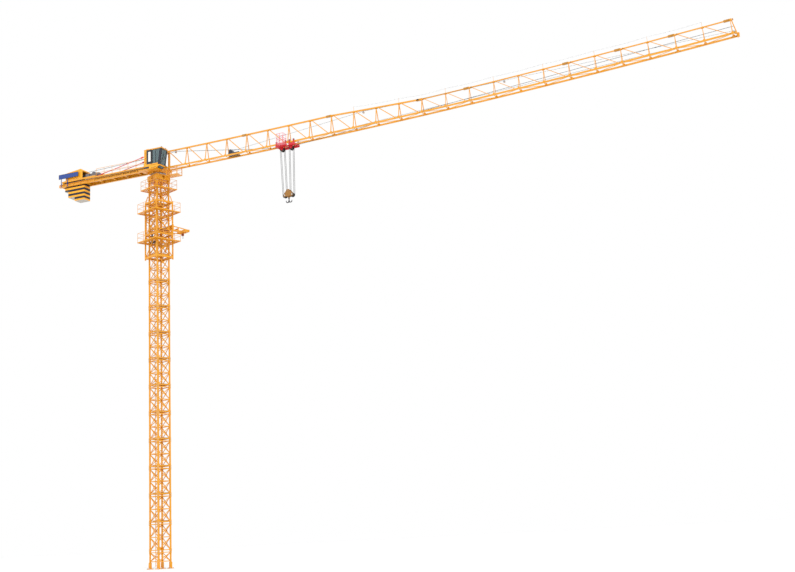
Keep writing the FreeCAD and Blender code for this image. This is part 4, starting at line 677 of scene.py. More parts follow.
class CRANE_OT_finishes(bpy.types.Operator):
    """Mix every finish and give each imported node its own"""
    bl_idname = "crane.finishes"
    bl_label = "Finishes"

    def execute(self, context):
        paint = colours()
        FINISHES.update({
            "sprayed_orange": sprayed_paint("orange_two_pack_paint", paint.orange),
            "open_decking": open_decking("orange_expanded_steel_decking", paint.orange,
                                         [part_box(name)[1][2] - 0.006
                                          for name in ("cage_platform_lower", "cage_platform_upper",
                                                                                  "mast_platform_top")]),
            # shaded_orange is the orange at 0.62 of its brightness: a darker copy of the same paint that
            # stands for painted shade. Its heavier dirt streaks are real grime.
            "shaded_orange": sprayed_paint("grimy_orange_paint_darkened_as_painted_shade",
                                           tuple(c * 0.62 for c in paint.orange), 0.5),
            "brown_paint": sprayed_paint("red_brown_primer", linear("8C3A10"), 0.4),
            "link_red": sprayed_paint("orange_red_gloss_paint", linear("E8401C"), 0.1),
            "wheel_red": sprayed_paint("dark_red_gloss_paint", linear("7E1018"), 0.3),
            "sprayed_yellow": sprayed_paint("yellow_two_pack_paint", paint.yellow, 0.2, 0.06),
            "sprayed_red": sprayed_paint("red_two_pack_paint", paint.red, 0.2),
            "faded_red_rods": sprayed_paint("sun_faded_red_paint", paint.pink, 0.25, 0.12, 0.5, 0.7),
            "faded_red_basket": sprayed_paint("chalked_red_paint", linear("E2707A"), 0.2, 0.12, 0.5, 0.7),
            "sprayed_ochre": sprayed_paint("ochre_brushed_paint", paint.ochre, 0.5, 0.15, 0.4, 0.6),
            "sprayed_navy": sprayed_paint("navy_two_pack_paint", paint.navy, 0.15),
            "sprayed_grey": sprayed_paint("grey_machine_enamel", paint.grey, 0.3, 0.08, 0.35, 0.5),
            "enamelled_blue": sprayed_paint("blue_stove_enamel", paint.blue, 0.1, 0.05, 0.2, 0.3),
            "enamelled_white": sprayed_paint("white_stove_enamel", paint.white, 0.15, 0.04, 0.2, 0.3),
            "striped_slabs": striped_slab_paint("striped_slab_paint", paint.yellow, paint.navy,
                                                linear("B4AFA6")),
            "turned_steel": bare_steel("turned_oiled_steel", (0.46, 0.46, 0.47)),
            "cast_iron": bare_steel("machined_cast_iron", (0.13, 0.12, 0.11), (60.0, 60.0, 60.0), 0.4, 0.6),
            "bright_steel": bare_steel("zinc_plated_fastener_steel", (0.62, 0.62, 0.60), (90.0, 90.0, 90.0),
                                       0.3, 0.5),
            "forged_black": sprayed_paint("black_forged_hook_paint", linear("17171C"), 0.3, 0.2, 0.3, 0.55),
            "hydraulic_black": sprayed_paint("black_cylinder_enamel", linear("1B1B20"), 0.2, 0.2, 0.25, 0.4),
            "galvanised_grating": hot_dip_grating("hot_dip_galvanised_grating"),
            "greased_rope": greased_rope("greased_galvanised_wire_rope"),
            "tinted_glass": float_glass("dusty_tinted_float_glass", paint.glass),
            "black_rubber": moulded("black_extruded_rubber", (0.018, 0.018, 0.019)),
            "seat_cloth": moulded("grey_seat_vinyl", (0.05, 0.052, 0.06), 420.0, 0.6, 0.85, 0.0008),
            "lamp_lens": float_glass("ribbed_lamp_lens", (0.9, 0.9, 0.86)),
        })
        for label, prefixes in NODE_FINISHES.items():
            for name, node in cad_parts.items():
                if name in prefixes or name.startswith(tuple(part for part in prefixes if part[-1] == "_")):
                    for slot in node.material_slots or [None]:
                        if slot:
                            slot.material = FINISHES[label]
                        else:
                            node.data.materials.append(FINISHES[label])
        bare = [name for name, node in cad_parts.items()
                if not any(slot.material and slot.material.name in {made.name for made in FINISHES.values()}
                           for slot in node.material_slots)]
        if bare:
            raise RuntimeError(f"nodes without a finish: {bare}")
        return {"FINISHED"}


class CRANE_OT_stage(bpy.types.Operator):
    """A pale floor, soft light from the cab's side and the camera"""
    bl_idname = "crane.stage"
    bl_label = "Stage"

    def execute(self, context):
        scene = context.scene
        scene.view_settings.view_transform = "Standard"
        t = np.linspace(-1, 1, 9) * 400.0
        grid = np.stack(np.meshgrid(t, t, indexing="ij"), -1).reshape(-1, 2)
        index = np.arange(81).reshape(9, 9)
        faces = np.stack([index[:-1, :-1], index[1:, :-1], index[1:, 1:], index[:-1, 1:]], -1).reshape(-1, 4)
        mesh = bpy.data.meshes.new("floor")
        mesh.from_pydata(np.column_stack([grid, np.full(81, -0.002)]).tolist(), [], faces.tolist())
        mesh.materials.append(swept_floor("power_floated_pale_screed"))
        floor = bpy.data.objects.new("floor", mesh)
        scene.collection.objects.link(floor)

        world = bpy.data.worlds.new("studio")
        world.use_nodes = True
        sky = world.node_tree.nodes["Background"]
        sky.inputs["Color"].default_value = (1.0, 1.0, 1.0, 1.0)
        sky.inputs["Strength"].default_value = 1.0
        scene.world = world
        for name, energy, angle, turn, lift in (("key_light", 1.1, 12.0, -52.0, 42.0),
                                                ("fill_light", 0.2, 50.0, -120.0, 12.0)):
            light = bpy.data.lights.new(name, "SUN")
            light.energy = energy
            light.angle = math.radians(angle)
            lamp = bpy.data.objects.new(name, light)
            towards = Matrix.Rotation(math.radians(turn + 90), 4,
                                      "Z") @ Matrix.Rotation(math.radians(90 - lift), 4, "X")
            lamp.matrix_world = towards
            scene.collection.objects.link(lamp)

        camera = bpy.data.cameras.new("camera")
        camera.lens = 51.714
        camera.sensor_width = 36.0
        camera.sensor_fit = "HORIZONTAL"
        camera.clip_end = 1500.0
        eye = bpy.data.objects.new("camera", camera)
        yaw, pitch, roll = (math.radians(a) for a in (-22.582, 12.396, -2.867))
        ahead = np.array([math.cos(pitch) * math.sin(yaw), math.cos(pitch) * math.cos(yaw), math.sin(pitch)])
        level = np.array([math.cos(yaw), -math.sin(yaw), 0.0])
        lift = np.cross(level, ahead)
        right = math.cos(roll) * level + math.sin(roll) * lift
        up = -math.sin(roll) * level + math.cos(roll) * lift
        place = np.eye(4)
        place[:3, 0], place[:3, 1], place[:3, 2], place[:3, 3] = right, up, -ahead, (34.475, -49.882, 0.974)
        eye.matrix_world = Matrix(place.tolist())
        scene.collection.objects.link(eye)
        scene.camera = eye
        return {"FINISHED"}


# ---- mast and cage ----
def tower_levels():
    """Heights of the joints between mast sections: base + section * k."""
    sizes = tower_sizes()
    return sizes.base_height + sizes.section_height * np.arange(sizes.section_count + 1)


def crossed_places(xs, ys, zs):
    """Every combination of the coordinates as points."""
    return np.stack(np.meshgrid(xs, ys, zs, indexing="ij"), -1).reshape(-1, 3)


def ladder(foot, height, half_width, spacing, side=Y):
    """Two stiles and evenly spaced rungs standing on a foot."""
    foot = np.asarray(foot, float)
    stiles = bars(foot + np.outer([-1, 1], side) * half_width,
                  foot + np.outer([-1, 1], side) * half_width + Z * height,
                  0.016, 0.028)
    rise = np.arange(spacing / 2, height, spacing)[:, None] * Z
    rungs = rods(foot + rise - side * half_width, foot + rise + side * half_width, 0.007, 8)
    return joined([stiles, rungs])


class CRANE_OT_mast_fittings(bpy.types.Operator):
    """Joint bolts, crossing plates, ladder, rest platforms and foot bolts of the mast"""
    bl_idname = "crane.mast_fittings"
    bl_label = "Mast fittings"

    def execute(self, context):
        sizes = tower_sizes()
        half, levels = sizes.leg_pitch / 2, tower_levels()
        face = half + sizes.collar / 2
        heights = np.concatenate([levels[1:-1] - 0.05, levels[1:-1] + 0.05, levels[:1] - 0.05,
                                  levels[:1] + 0.05,
                                  levels[-1:] - 0.05])
        heads = bolts(crossed_places([face], [-half - 0.02, -half + 0.02, half - 0.02, half + 0.02], heights),
                      X, 0.011, 0.010)
        washers = turned_about([(0.015, 0.0), (0.015, 0.003)],
                               crossed_places([face], [-half - 0.02, -half + 0.02, half - 0.02, half + 0.02],
                                              heights), X, 10)
        piece("mast_joint_bolts", spun(four_sides(joined([heads, washers])), sizes.turn), "bright_steel",
              "tower")

        centres = np.concatenate([levels[:-1] + 0.38, levels[:-1] + 1.02])
        diamond = np.array([(0, -0.055, 0), (0, 0, -0.07), (0, 0.055, 0), (0, 0, 0.07)])
        crossings = plates(diamond, X * 0.006, crossed_places([half + 0.0155], [0.0], centres))
        corners = np.array([(0, 0, 0), (0, 0.10, 0), (0, 0.035, 0.09), (0, 0, 0.09)])
        at_legs = plates(corners, X * 0.005,
                         crossed_places([half + 0.0155], [-half + sizes.leg_size / 2], levels[:-1] + 0.081))
        flipped = plates(corners * [1, -1, 1], X * 0.005,
                         crossed_places([half + 0.0155], [half - sizes.leg_size / 2], levels[:-1] + 0.081))
        piece("mast_gussets", spun(four_sides(joined([crossings, at_legs, flipped])), sizes.turn),
              "sprayed_orange", "tower")

        rungs = ladder((-0.25, 0, 0.10), levels[-1] - 0.14, 0.11, sizes.rung_spacing)
        holds = crossed_places([-half + 0.02], [-0.11, 0.11],
                               np.concatenate([levels[:-1] + 0.06, levels[:-1] + 0.7]))
        stays = bars(holds, holds * [0, 1, 1] + X * -0.25, 0.012)
        piece("mast_ladder", spun(joined([rungs, stays]), sizes.turn), "sprayed_orange", "tower")

        deck = block((-0.20, -0.335, -0.020), (0.335, 0.335, 0.022), 0.003)
        kerb = joined([bars([(-0.20, y, 0.034), (0.335, y, 0.034)][:1], [(0.335, y, 0.024)], 0.006, 0.024)
                       for y in (-0.335, 0.335)])
        bearers = bars([(x, -0.344, -0.028) for x in (-0.12, 0.32)],
                       [(x, 0.344, -0.028) for x in (-0.12, 0.32)], 0.02, 0.016)
        stations = levels[1:-1, None] * Z + Z * 0.095
        # The decks take the darker orange copy: painted shade for the shadow band under each rest platform.
        piece("mast_rest_platforms", spun(moved(deck, stations), sizes.turn), "shaded_orange", "tower")
        piece("mast_platform_bearers", spun(moved(joined([kerb, bearers]), stations), sizes.turn),
              "sprayed_orange", "tower")

        studs = crossed_places([half - 0.098, half + 0.098], [half - 0.098, half + 0.098], [0.018])
        nuts = bolts(studs, Z, 0.019, 0.026)
        rod_ends = turned_about([(0.010, 0.0), (0.010, 0.048), (0.008, 0.052)], studs, Z, 12)
        washer = block((-0.026, -0.026, -0.004), (0.026, 0.026, 0.004), 0.001)
        fixings = joined([nuts, rod_ends, moved(washer, studs)])
        piece("foot_anchor_bolts", spun(four_sides(fixings), sizes.turn), "bright_steel", "tower")
        web = np.array([(0.0570, -0.005, 0.036), (0.084, -0.005, 0.036), (0.0575, -0.005, 0.19),
                        (0.0570, -0.005, 0.19)])
        ribs = joined([spun(plates(web, Y * 0.010), k * math.pi / 2) for k in range(4)])
        piece("foot_ribs", spun(four_sides(moved(ribs, [(half, half, 0.0)])), sizes.turn), "sprayed_orange",
              "tower")
        return {"FINISHED"}


class CRANE_OT_cage_fittings(bpy.types.Operator):
    """Guide rollers, pump, hoses, ladder and the loading hoist of the climbing cage"""
    bl_idname = "crane.cage_fittings"
    bl_label = "Climbing cage fittings"

    def execute(self, context):
        sizes = tower_sizes()
        top = tower_levels()[-1]
        cage = sizes.cage_pitch
        decks = (top - 3.373, top - 1.753)
        rings = np.array([top - 4.273, top - 3.023, top - 1.233])
        leg = sizes.leg_pitch / 2
        face = leg + sizes.leg_size / 2
        wheel = [(0.010, -0.020), (0.026, -0.020), (0.028, -0.016), (0.028, 0.016), (0.026, 0.020),
                 (0.010, 0.020)]
        rollers = turned_about(wheel, crossed_places([face + 0.0285], [-leg, leg], rings + 0.078), Y, 20)
        forks = bars(crossed_places([cage / 2 - 0.028],
                                    [-leg - 0.026, -leg + 0.026, leg - 0.026, leg + 0.026], rings + 0.05),
                     crossed_places([face + 0.0285], [-leg - 0.026, -leg + 0.026, leg - 0.026, leg + 0.026],
                                    rings + 0.078),
                     0.006, 0.030)
        piece("cage_guide_rollers", spun(four_sides(rollers), sizes.turn), "turned_steel", "tower")
        piece("cage_roller_forks", spun(four_sides(forks), sizes.turn), "sprayed_orange", "tower")

        z = decks[0] + 0.003
        tank = joined([block((-0.76, 0.16, z), (-0.58, 0.46, z + 0.16), 0.008, 0.02),
                       block((-0.72, 0.20, z + 0.165), (-0.62, 0.30, z + 0.21), 0.006, 0.012),
                       turned_about([(0.03, 0), (0.055, 0.01), (0.055, 0.12), (0.045, 0.14), (0.02, 0.145)],
                                    [(-0.67, 0.38, z + 0.16)], Z, 28)])
        # The pump is painted in the darker orange copy: painted shade, not the pump's own colour.
        piece("cage_pump_unit", spun(tank, sizes.turn), "shaded_orange", "tower")
        u = np.linspace(0, 1, 40)[:, None]
        ring_z = rings[1]
        hoses = []
        for shift in (-0.03, 0.03):
            start, end = np.array([-0.66, 0.25 + shift, z + 0.205]), np.array([-0.47, 0.02 + shift,
                                                                               ring_z + 0.09])
            loop = start + (end - start) * u + Z * 0.22 * np.sin(np.pi * u) + Y * 0.10 * np.sin(np.pi * u)
            hoses.append(swept(loop, circle(12) * 0.009, X))
        piece("cage_hoses", spun(joined(hoses), sizes.turn), "black_rubber", "tower")

        climb = ladder((-cage / 2 - 0.075, -0.30, decks[0] + 0.001), decks[1] - decks[0] - 0.05, 0.10,
                       sizes.rung_spacing)
        piece("cage_ladder", spun(climb, sizes.turn), "sprayed_orange", "tower")

        root, beam_z = (cage + sizes.cage_post) / 2, top - 2.723
        far = root + 1.0
        rail_bars = bars([(root + 0.06, 0, beam_z + 0.110)], [(root + 1.10, 0, beam_z + 0.110)], 0.05, 0.07)
        eyes = [bars([(root + 1.19 * part, -0.30, beam_z + 0.17)],
                     [(root + 1.19 * part, 0.30, beam_z + 0.17)], 0.02, 0.05)
                for part in (0.4, 0.75)]
        body = block((far - 0.07, -0.06, beam_z - 0.10), (far + 0.05, 0.06, beam_z + 0.03), 0.012, 0.03)
        hanger = bars([(far, -0.032, beam_z + 0.02), (far, 0.032, beam_z + 0.02)],
                      [(far, -0.032, beam_z + 0.13), (far, 0.032, beam_z + 0.13)], 0.03, 0.008, X)
        arc = np.linspace(-0.35 * np.pi, 1.15 * np.pi, 24)
        hook_path = np.stack([far + 0.028 * np.cos(arc), 0 * arc, beam_z - 0.20 - 0.028 * np.sin(arc)], -1)
        hook_part = swept(hook_path, circle(10) * 0.008, Y)
        link = rods([(far + 0.01, 0, beam_z - 0.18)], [(far, 0, beam_z - 0.095)], 0.006)
        quarter = math.pi / 2
        piece("loading_rail", spun(joined([rail_bars] + eyes), sizes.turn + quarter), "sprayed_orange",
              "tower")
        piece("loading_hoist", spun(joined([body, hanger]), sizes.turn + quarter), "brown_paint", "tower")
        piece("loading_hook", spun(joined([hook_part, link]), sizes.turn + quarter), "forged_black", "tower")
        return {"FINISHED"}


# ---- slewing part ----
def geared_motor(height=0.34):
    """An upright motor's profile: gearbox, neck, finned casing and domed cowl as (radius, height)."""
    fins = [point for k in range(9) for point in ((0.072, 0.155 + 0.014 * k), (0.062, 0.158 + 0.014 * k),
                                                  (0.062, 0.166 + 0.014 * k), (0.072, 0.169 + 0.014 * k))]
    return [(0.095, 0.0), (0.10, 0.006), (0.10, 0.09), (0.085, 0.105), (0.060, 0.12), (0.058, 0.14),
            (0.070, 0.15)] + fins + [
        (0.070, height - 0.04), (0.064, height - 0.012), (0.045, height), (0.01, height + 0.002)]


class CRANE_OT_slewing_fittings(bpy.types.Operator):
    """Slewing motors, ribs and bolts of the slewing support and the turntable"""
    bl_idname = "crane.slewing_fittings"
    bl_label = "Slewing fittings"

    def execute(self, context):
        sizes = tower_sizes()
        top = tower_levels()[-1]
        half = (sizes.leg_pitch + 0.1475) / 2
        ribs = bars(crossed_places([half + 0.008], [-0.20, 0.20], [top + 0.004]),
                    crossed_places([half + 0.008], [-0.20, 0.20], [top + 0.296]), 0.016, 0.010)
        collar = turned_about([(0.085, -0.002), (0.108, -0.002), (0.110, 0.006), (0.104, 0.012),
                               (0.088, 0.012)],
                              [(half, 0, top + 0.15)], X, 40, looped=True)
        piece("slewing_support_ribs", spun(four_sides(joined([ribs, collar])), sizes.turn), "sprayed_orange",
              "tower")
        flange = turned_about([(0.432, 0.0), (0.436, 0.003), (0.436, 0.026), (0.432, 0.03)],
                              [(0, 0, top + 0.315)], Z, 96)
        piece("slewing_ring_flange", flange, "turned_steel", "tower")
        seat_heads = bolts(crossed_places([half], np.linspace(-0.38, 0.38, 10), [top + 0.03, top + 0.27]), X,
                           0.010, 0.008)
        piece("slewing_support_bolts", spun(four_sides(seat_heads), sizes.turn), "bright_steel", "tower")
        base = top + 0.617
        motors = turned_about(geared_motor(), [(0.02, -0.11, base), (0.02, 0.11, base)], Z, 32)
        piece("slewing_motors", motors, "sprayed_grey", "slewing_upper")
        boxes = joined([block((0.095, y - 0.035, base + 0.17), (0.135, y + 0.035, base + 0.24), 0.006)
                        for y in (-0.11, 0.11)])
        piece("slewing_motor_boxes", boxes, "sprayed_navy", "slewing_upper")
        cabinet = joined([block((-0.26, -0.20, base), (-0.10, 0.20, base + 0.34), 0.006, 0.01)])
        door = joined([block((-0.0985, -0.185 + 0.19 * k, base + 0.02),
                             (-0.0945, -0.005 + 0.19 * k, base + 0.32), 0.0015, 0.004)
                       for k in range(2)])
        piece("slewing_cabinet", joined([cabinet, door]), "sprayed_grey", "slewing_upper")
        neck = np.linspace(-0.34, 0.34, 9)
        side_heads = bolts(crossed_places(neck, [0.3903], [base - 0.03]), Y, 0.011, 0.009)
        side_heads = Part(np.concatenate([side_heads.points]), side_heads.faces)
        piece("turntable_bolts", mirrored(side_heads), "bright_steel", "slewing_upper")
        return {"FINISHED"}


CAB_LEAN = 0.14 / 0.965


def cab_box():
    """The cab's packed corners: rear, far and roof come from here."""
    low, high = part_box("cab_shell")
    return np.array(low), np.array(high)


def pad(low, high, power=0.45, rings=18, around=28):
    """A soft closed form: a ball with its sines and cosines raised to a power, stretched to a box."""
    low, high = np.array(low, float), np.array(high, float)
    v = np.linspace(-np.pi / 2 + 0.08, np.pi / 2 - 0.08, rings)[:, None]
    u = np.linspace(0, 2 * np.pi, around, endpoint=False)[None]
    raised = lambda value: np.sign(value) * np.abs(value) ** power
    shape = np.stack([raised(np.cos(v)) * raised(np.cos(u)), raised(np.cos(v)) * raised(np.sin(u)),
                      raised(np.sin(v)) + 0 * u], -1)
    return skin((low + high) / 2 + shape * (high - low) / 2)


def leaning(part, slope, foot):
    """The part sheared along X by a slope times its height over a foot."""
    points = part.points.copy()
    points[:, 0] += (points[:, 2] - foot) * slope
    return Part(points, part.faces)


class CRANE_OT_cab_inside(bpy.types.Operator):
    """Seat, consoles, sticks and screen inside the cab"""
    bl_idname = "crane.cab_inside"
    bl_label = "Cab inside"

    def execute(self, context):
        low, high = cab_box()
        y, floor = (low[1] + high[1]) / 2, low[2] + 0.03
        cushion = pad((0.02, y - 0.125, floor + 0.17), (0.29, y + 0.125, floor + 0.25))
        back = leaning(pad((-0.03, y - 0.12, floor + 0.22), (0.05, y + 0.12, floor + 0.60)), -0.16,
                       floor + 0.22)
        head = leaning(pad((-0.02, y - 0.06, floor + 0.60), (0.03, y + 0.06, floor + 0.69)), -0.16,
                       floor + 0.22)
        arms = joined([pad((0.03, y + side * 0.15 - 0.02, floor + 0.33),
                           (0.24, y + side * 0.15 + 0.02, floor + 0.36))
                       for side in (-1, 1)])
        piece("cab_seat", joined([cushion, back, head, arms]), "seat_cloth", "slewing_upper")
        pedestal = turned_about([(0.09, 0.0), (0.09, 0.012), (0.04, 0.03), (0.035, 0.15), (0.08, 0.17)],
                                [(0.15, y, floor)], Z, 28)
        consoles = joined([block((0.05, y + side * 0.19 - 0.035, floor),
                                 (0.33, y + side * 0.19 + 0.035, floor + 0.30), 0.012)
                           for side in (-1, 1)])
        screen = leaning(block((0.42, y - 0.11, floor + 0.34), (0.44, y - 0.01, floor + 0.46), 0.004), 0.2,
                         floor + 0.34)
        post = rods([(0.42, y - 0.06, floor)], [(0.43, y - 0.06, floor + 0.35)], 0.008)
        piece("cab_consoles", joined([pedestal, consoles, screen, post]), "sprayed_navy", "slewing_upper")
        stick = [(0.022, 0.0), (0.020, 0.012), (0.006, 0.02), (0.005, 0.06), (0.013, 0.068), (0.014, 0.10),
                 (0.006, 0.112)]
        sticks = turned_about(stick, [(0.27, y + side * 0.19, floor + 0.30) for side in (-1, 1)], Z, 20)
        piece("cab_sticks", sticks, "black_rubber", "slewing_upper")
        return {"FINISHED"}


def front_line(z, floor):
    """Where the window's sloping front edge stands at a height."""
    return 0.622 + CAB_LEAN * (z - floor - 0.165)


class CRANE_OT_cab_trim(bpy.types.Operator):
    """Panels, gaskets, wiper, grab rails, roof trim and lamps on the cab"""
    bl_idname = "crane.cab_trim"
    bl_label = "Cab trim"

    def execute(self, context):
        low, high = cab_box()
        near, far, rear, floor, roof = low[1], high[1], low[0], low[2], high[2]
        panels = block((rear + 0.150, near - 0.004, floor + 0.225), (0.186, near + 0.001, roof - 0.035),
                       0.0015, 0.002)
        far_panel = block((rear + 0.165, far - 0.001, floor + 0.155), (0.186, far + 0.004, roof - 0.035),
                          0.0015, 0.002)
        sill = block((0.19, near - 0.004, floor + 0.012), (0.49, near + 0.001, floor + 0.035), 0.0015, 0.002)
        back_panel = block((rear - 0.004, near + 0.05, floor + 0.12), (rear + 0.001, far - 0.05, roof - 0.05),
                           0.0015, 0.002)
        under = block((rear + 0.01, near + 0.01, floor - 0.004), (0.0, far - 0.01, floor + 0.0005), 0.001,
                      0.004)
        piece("cab_dark_panels", joined([panels, far_panel, sill, back_panel, under]), "sprayed_navy",
              "slewing_upper")
        band = block((rear + 0.02, near - 0.006, floor + 0.150),
                     (front_line(floor + 0.19, floor), near - 0.001, floor + 0.235), 0.0015, 0.002)
        piece("cab_lower_band", band, "sprayed_yellow", "slewing_upper")
        plate = joined([block((0.0, near - 0.007, roof - 0.70), (0.155, near - 0.0035, roof - 0.145), 0.001,
                              0.006)])
        piece("cab_bare_plate", plate, "enamelled_white", "slewing_upper")

        window_low, window_high, window_rear = floor + 0.165, roof - 0.06, 0.185
        front_low, front_high = 0.622, 0.622 + CAB_LEAN * (window_high - window_low)
        outline = np.array([(window_rear, window_low), (front_low, window_low), (front_high, window_high),
                            (window_rear, window_high)])
        seals = []
        for y in (near + 0.001, far - 0.001):
            corners = np.column_stack([outline[:, 0], np.full(4, y), outline[:, 1]])
            seals.append(swept(corners.repeat(1, 0), SQUARE * [0.008, 0.014], Y, looped=True))
            strip = bars([(window_rear + 0.05, y, window_low)], [(window_rear + 0.05, y, window_high)], 0.012,
                         0.085, X)
            middle = bars([(0.47, y, window_low)], [(0.47, y, window_high)], 0.012, 0.018, X)
            seals += [strip, middle]
        chin, brow = np.array([0.70, 0, floor + 0.105]), np.array([0.84, 0, roof])
        up_front = unit(brow - chin)
        out_front = np.array([up_front[2], 0, -up_front[0]])
        a, b = chin + up_front * 0.06, brow - up_front * 0.06
        ys = (near + 0.06, far - 0.06)
        front = np.array([a + Y * ys[0], a + Y * ys[1], b + Y * ys[1], b + Y * ys[0]]) + out_front * 0.001
        seals.append(swept(front, SQUARE * [0.008, 0.014], out_front, looped=True))
        chin_foot = np.array([0.50, 0, floor])
        up_chin = unit(chin - chin_foot)
        out_chin = np.array([up_chin[2], 0, -up_chin[0]])
        c, d = chin_foot + up_chin * 0.03, chin - up_chin * 0.03
        lower = np.array([c + Y * ys[0], c + Y * ys[1], d + Y * ys[1], d + Y * ys[0]]) + out_chin * 0.001
        seals.append(swept(lower, SQUARE * [0.008, 0.012], out_chin, looped=True))
        pivot = a + Y * (near + 0.12 - 0.0) + out_front * 0.012
        tip = a + up_front * 0.46 + Y * (near + 0.26) + out_front * 0.012
        blade = bars([tip - up_front * 0.17], [tip + up_front * 0.19], 0.008, 0.012, out_front)
        arm = bars([pivot], [tip], 0.010, 0.007, out_front)
        boss = turned_about([(0.016, -0.012), (0.016, 0.006), (0.010, 0.011)], [pivot], out_front, 20)
        piece("cab_seals_and_wiper", joined(seals + [blade, arm, boss]), "black_rubber", "slewing_upper")

        corner = np.array([(front_low + 0.004, near - 0.004, window_low - 0.02),
                           (chin[0] + 0.003, near - 0.004, floor + 0.120),
                           (brow[0] - 0.004, near - 0.004, roof - 0.040),
                           (front_high + 0.004, near - 0.004, window_high + 0.01)])
        side_posts = plates(corner, Y * 0.005, [(0, 0, 0), (0, far - near + 0.003, 0)])
        ends = np.array([chin + up_front * 0.03, brow - up_front * 0.05])
        front_posts = bars([ends[0] + Y * y + out_front * 0.001 for y in (near + 0.026, far - 0.026)],
                           [ends[1] + Y * y + out_front * 0.001 for y in (near + 0.026, far - 0.026)], 0.005,
                           0.060, Y)
        lip = block((rear, near - 0.004, floor + 0.003), (0.05, near + 0.001, floor + 0.105), 0.0015, 0.002)
        piece("cab_dark_corners", joined([side_posts, front_posts, lip]), "sprayed_navy", "slewing_upper")

        roof_edge = joined([block((rear - 0.008, near - 0.010, roof - 0.03),
                                  (brow[0] + 0.006, near + 0.012, roof + 0.012), 0.005),
                            block((rear - 0.008, far - 0.012, roof - 0.03),
                                  (brow[0] + 0.006, far + 0.010, roof + 0.012), 0.005),
                            block((brow[0] - 0.012, near - 0.010, roof - 0.03),
                                  (brow[0] + 0.014, far + 0.010, roof + 0.012), 0.005),
                            block((rear - 0.012, near - 0.010, roof - 0.03),
                                  (rear + 0.010, far + 0.010, roof + 0.012), 0.005)])
        hatch = joined([block((0.02, near + 0.12, roof - 0.002), (0.36, far - 0.12, roof + 0.016), 0.006,
                              0.03),
                        block((-0.22, near + 0.10, roof - 0.002), (-0.06, far - 0.10, roof + 0.085), 0.012,
                              0.02)])
        piece("cab_roof_trim", joined([roof_edge, hatch]), "sprayed_orange", "slewing_upper")

        grips = []
        for x, z0, z1 in ((rear + 0.08, floor + 0.30, floor + 0.62),
                          (rear + 0.08, floor + 0.66, floor + 0.95)):
            u = np.linspace(0, 1, 33)
            stand = 0.032 * (1 - np.abs(2 * u - 1) ** 8)
            path = np.stack([np.full(33, x), near - stand, z0 + (z1 - z0) * u], -1)
            grips.append(swept(path, circle(12) * 0.007, X))
        lamps = turned_about([(0.030, -0.03), (0.034, -0.01), (0.034, 0.012), (0.030, 0.014)],
                             [(brow[0] - 0.05, near + 0.10, roof + 0.05),
                              (brow[0] - 0.05, far - 0.10, roof + 0.05)], X, 24)
        feet = bars([(brow[0] - 0.055, near + 0.10, roof), (brow[0] - 0.055, far - 0.10, roof)],
                    [(brow[0] - 0.055, near + 0.10, roof + 0.03), (brow[0] - 0.055, far - 0.10, roof + 0.03)],
                    0.014)
        piece("cab_grips_and_lamps", joined(grips + [lamps, feet]), "forged_black", "slewing_upper")
        lenses = turned_about([(0.029, 0.0), (0.026, 0.006), (0.012, 0.009)],
                              [(brow[0] - 0.037, near + 0.10, roof + 0.05),
                               (brow[0] - 0.037, far - 0.10, roof + 0.05)], X, 24)
        piece("cab_lamp_lenses", lenses, "lamp_lens", "slewing_upper")
        return {"FINISHED"}


HEAD_SHEAVE = np.array([-0.20, 0.0, 21.84])
TROLLEY_SHEAVES = (-0.290, 0.235)  # along the rail, from the middle of the trolley
TROLLEY_END = 0.54                 # where the hauling rope is made fast
DRUM_RADIUS = 0.150
ROPE_SEAT = 0.0003                 # between a rope and its groove


class CRANE_OT_head_fittings(bpy.types.Operator):
    """Rope sheave, pins, ladder and warning light of the tower head"""
    bl_idname = "crane.head_fittings"
    bl_label = "Tower head fittings"

    def execute(self, context):
        jib = jib_sizes()
        top = jib.axis_height + jib.deep + jib.chord_size / 2
        sheave_at = HEAD_SHEAVE
        sheave = turned_about(grooved(0.09, 0.034, 0.014, 0.010), [sheave_at], Y, 48, looped=True)
        axle = rods([sheave_at - Y * 0.05], [sheave_at + Y * 0.05], 0.013)
        piece("head_sheave", joined([sheave, axle]), "turned_steel", "slewing_upper")
        cheek = np.array([(-0.17, 0, 0.13), (-0.085, 0, 0.13), (0.03, 0, 0.03), (0.03, 0, -0.03),
                          (-0.03, 0, -0.03)])
        cheeks = plates(cheek, Y * 0.010, [sheave_at + Y * 0.024, sheave_at - Y * 0.034])
        pins = turned_about([(0.020, -0.062), (0.022, -0.058), (0.022, 0.058), (0.020, 0.062)],
                            [(0.52, y, jib.axis_height + 0.02)
                             for y in (-jib.chord_pitch / 2, jib.chord_pitch / 2)], Y, 24)
        piece("head_cheeks_and_pins", joined([cheeks, pins]), "sprayed_orange", "slewing_upper")
        rungs = ladder((-0.395, 0.0, jib.axis_height + 0.21), jib.deep - 0.30, 0.10, 0.15)
        piece("head_ladder", rungs, "galvanised_grating", "slewing_upper")
        lamp_at = (-0.33, 0.0, top - 0.07)
        lamp = turned_about([(0.02, 0.0), (0.022, 0.05), (0.040, 0.055), (0.042, 0.07), (0.036, 0.11),
                             (0.02, 0.135), (0.006, 0.14)],
                            [lamp_at], Z, 28)
        piece("head_warning_light", lamp, "sprayed_red", "slewing_upper")
        return {"FINISHED"}


# ---- jib ----
SECTION_ENDS = np.array([3, 7, 11, 13, 17, 19, 21, 23])
ROOT_ROLLER, OUTER_ROLLERS = 1.11, np.array([12.36, 19.86])
SLIM_START = 15.58


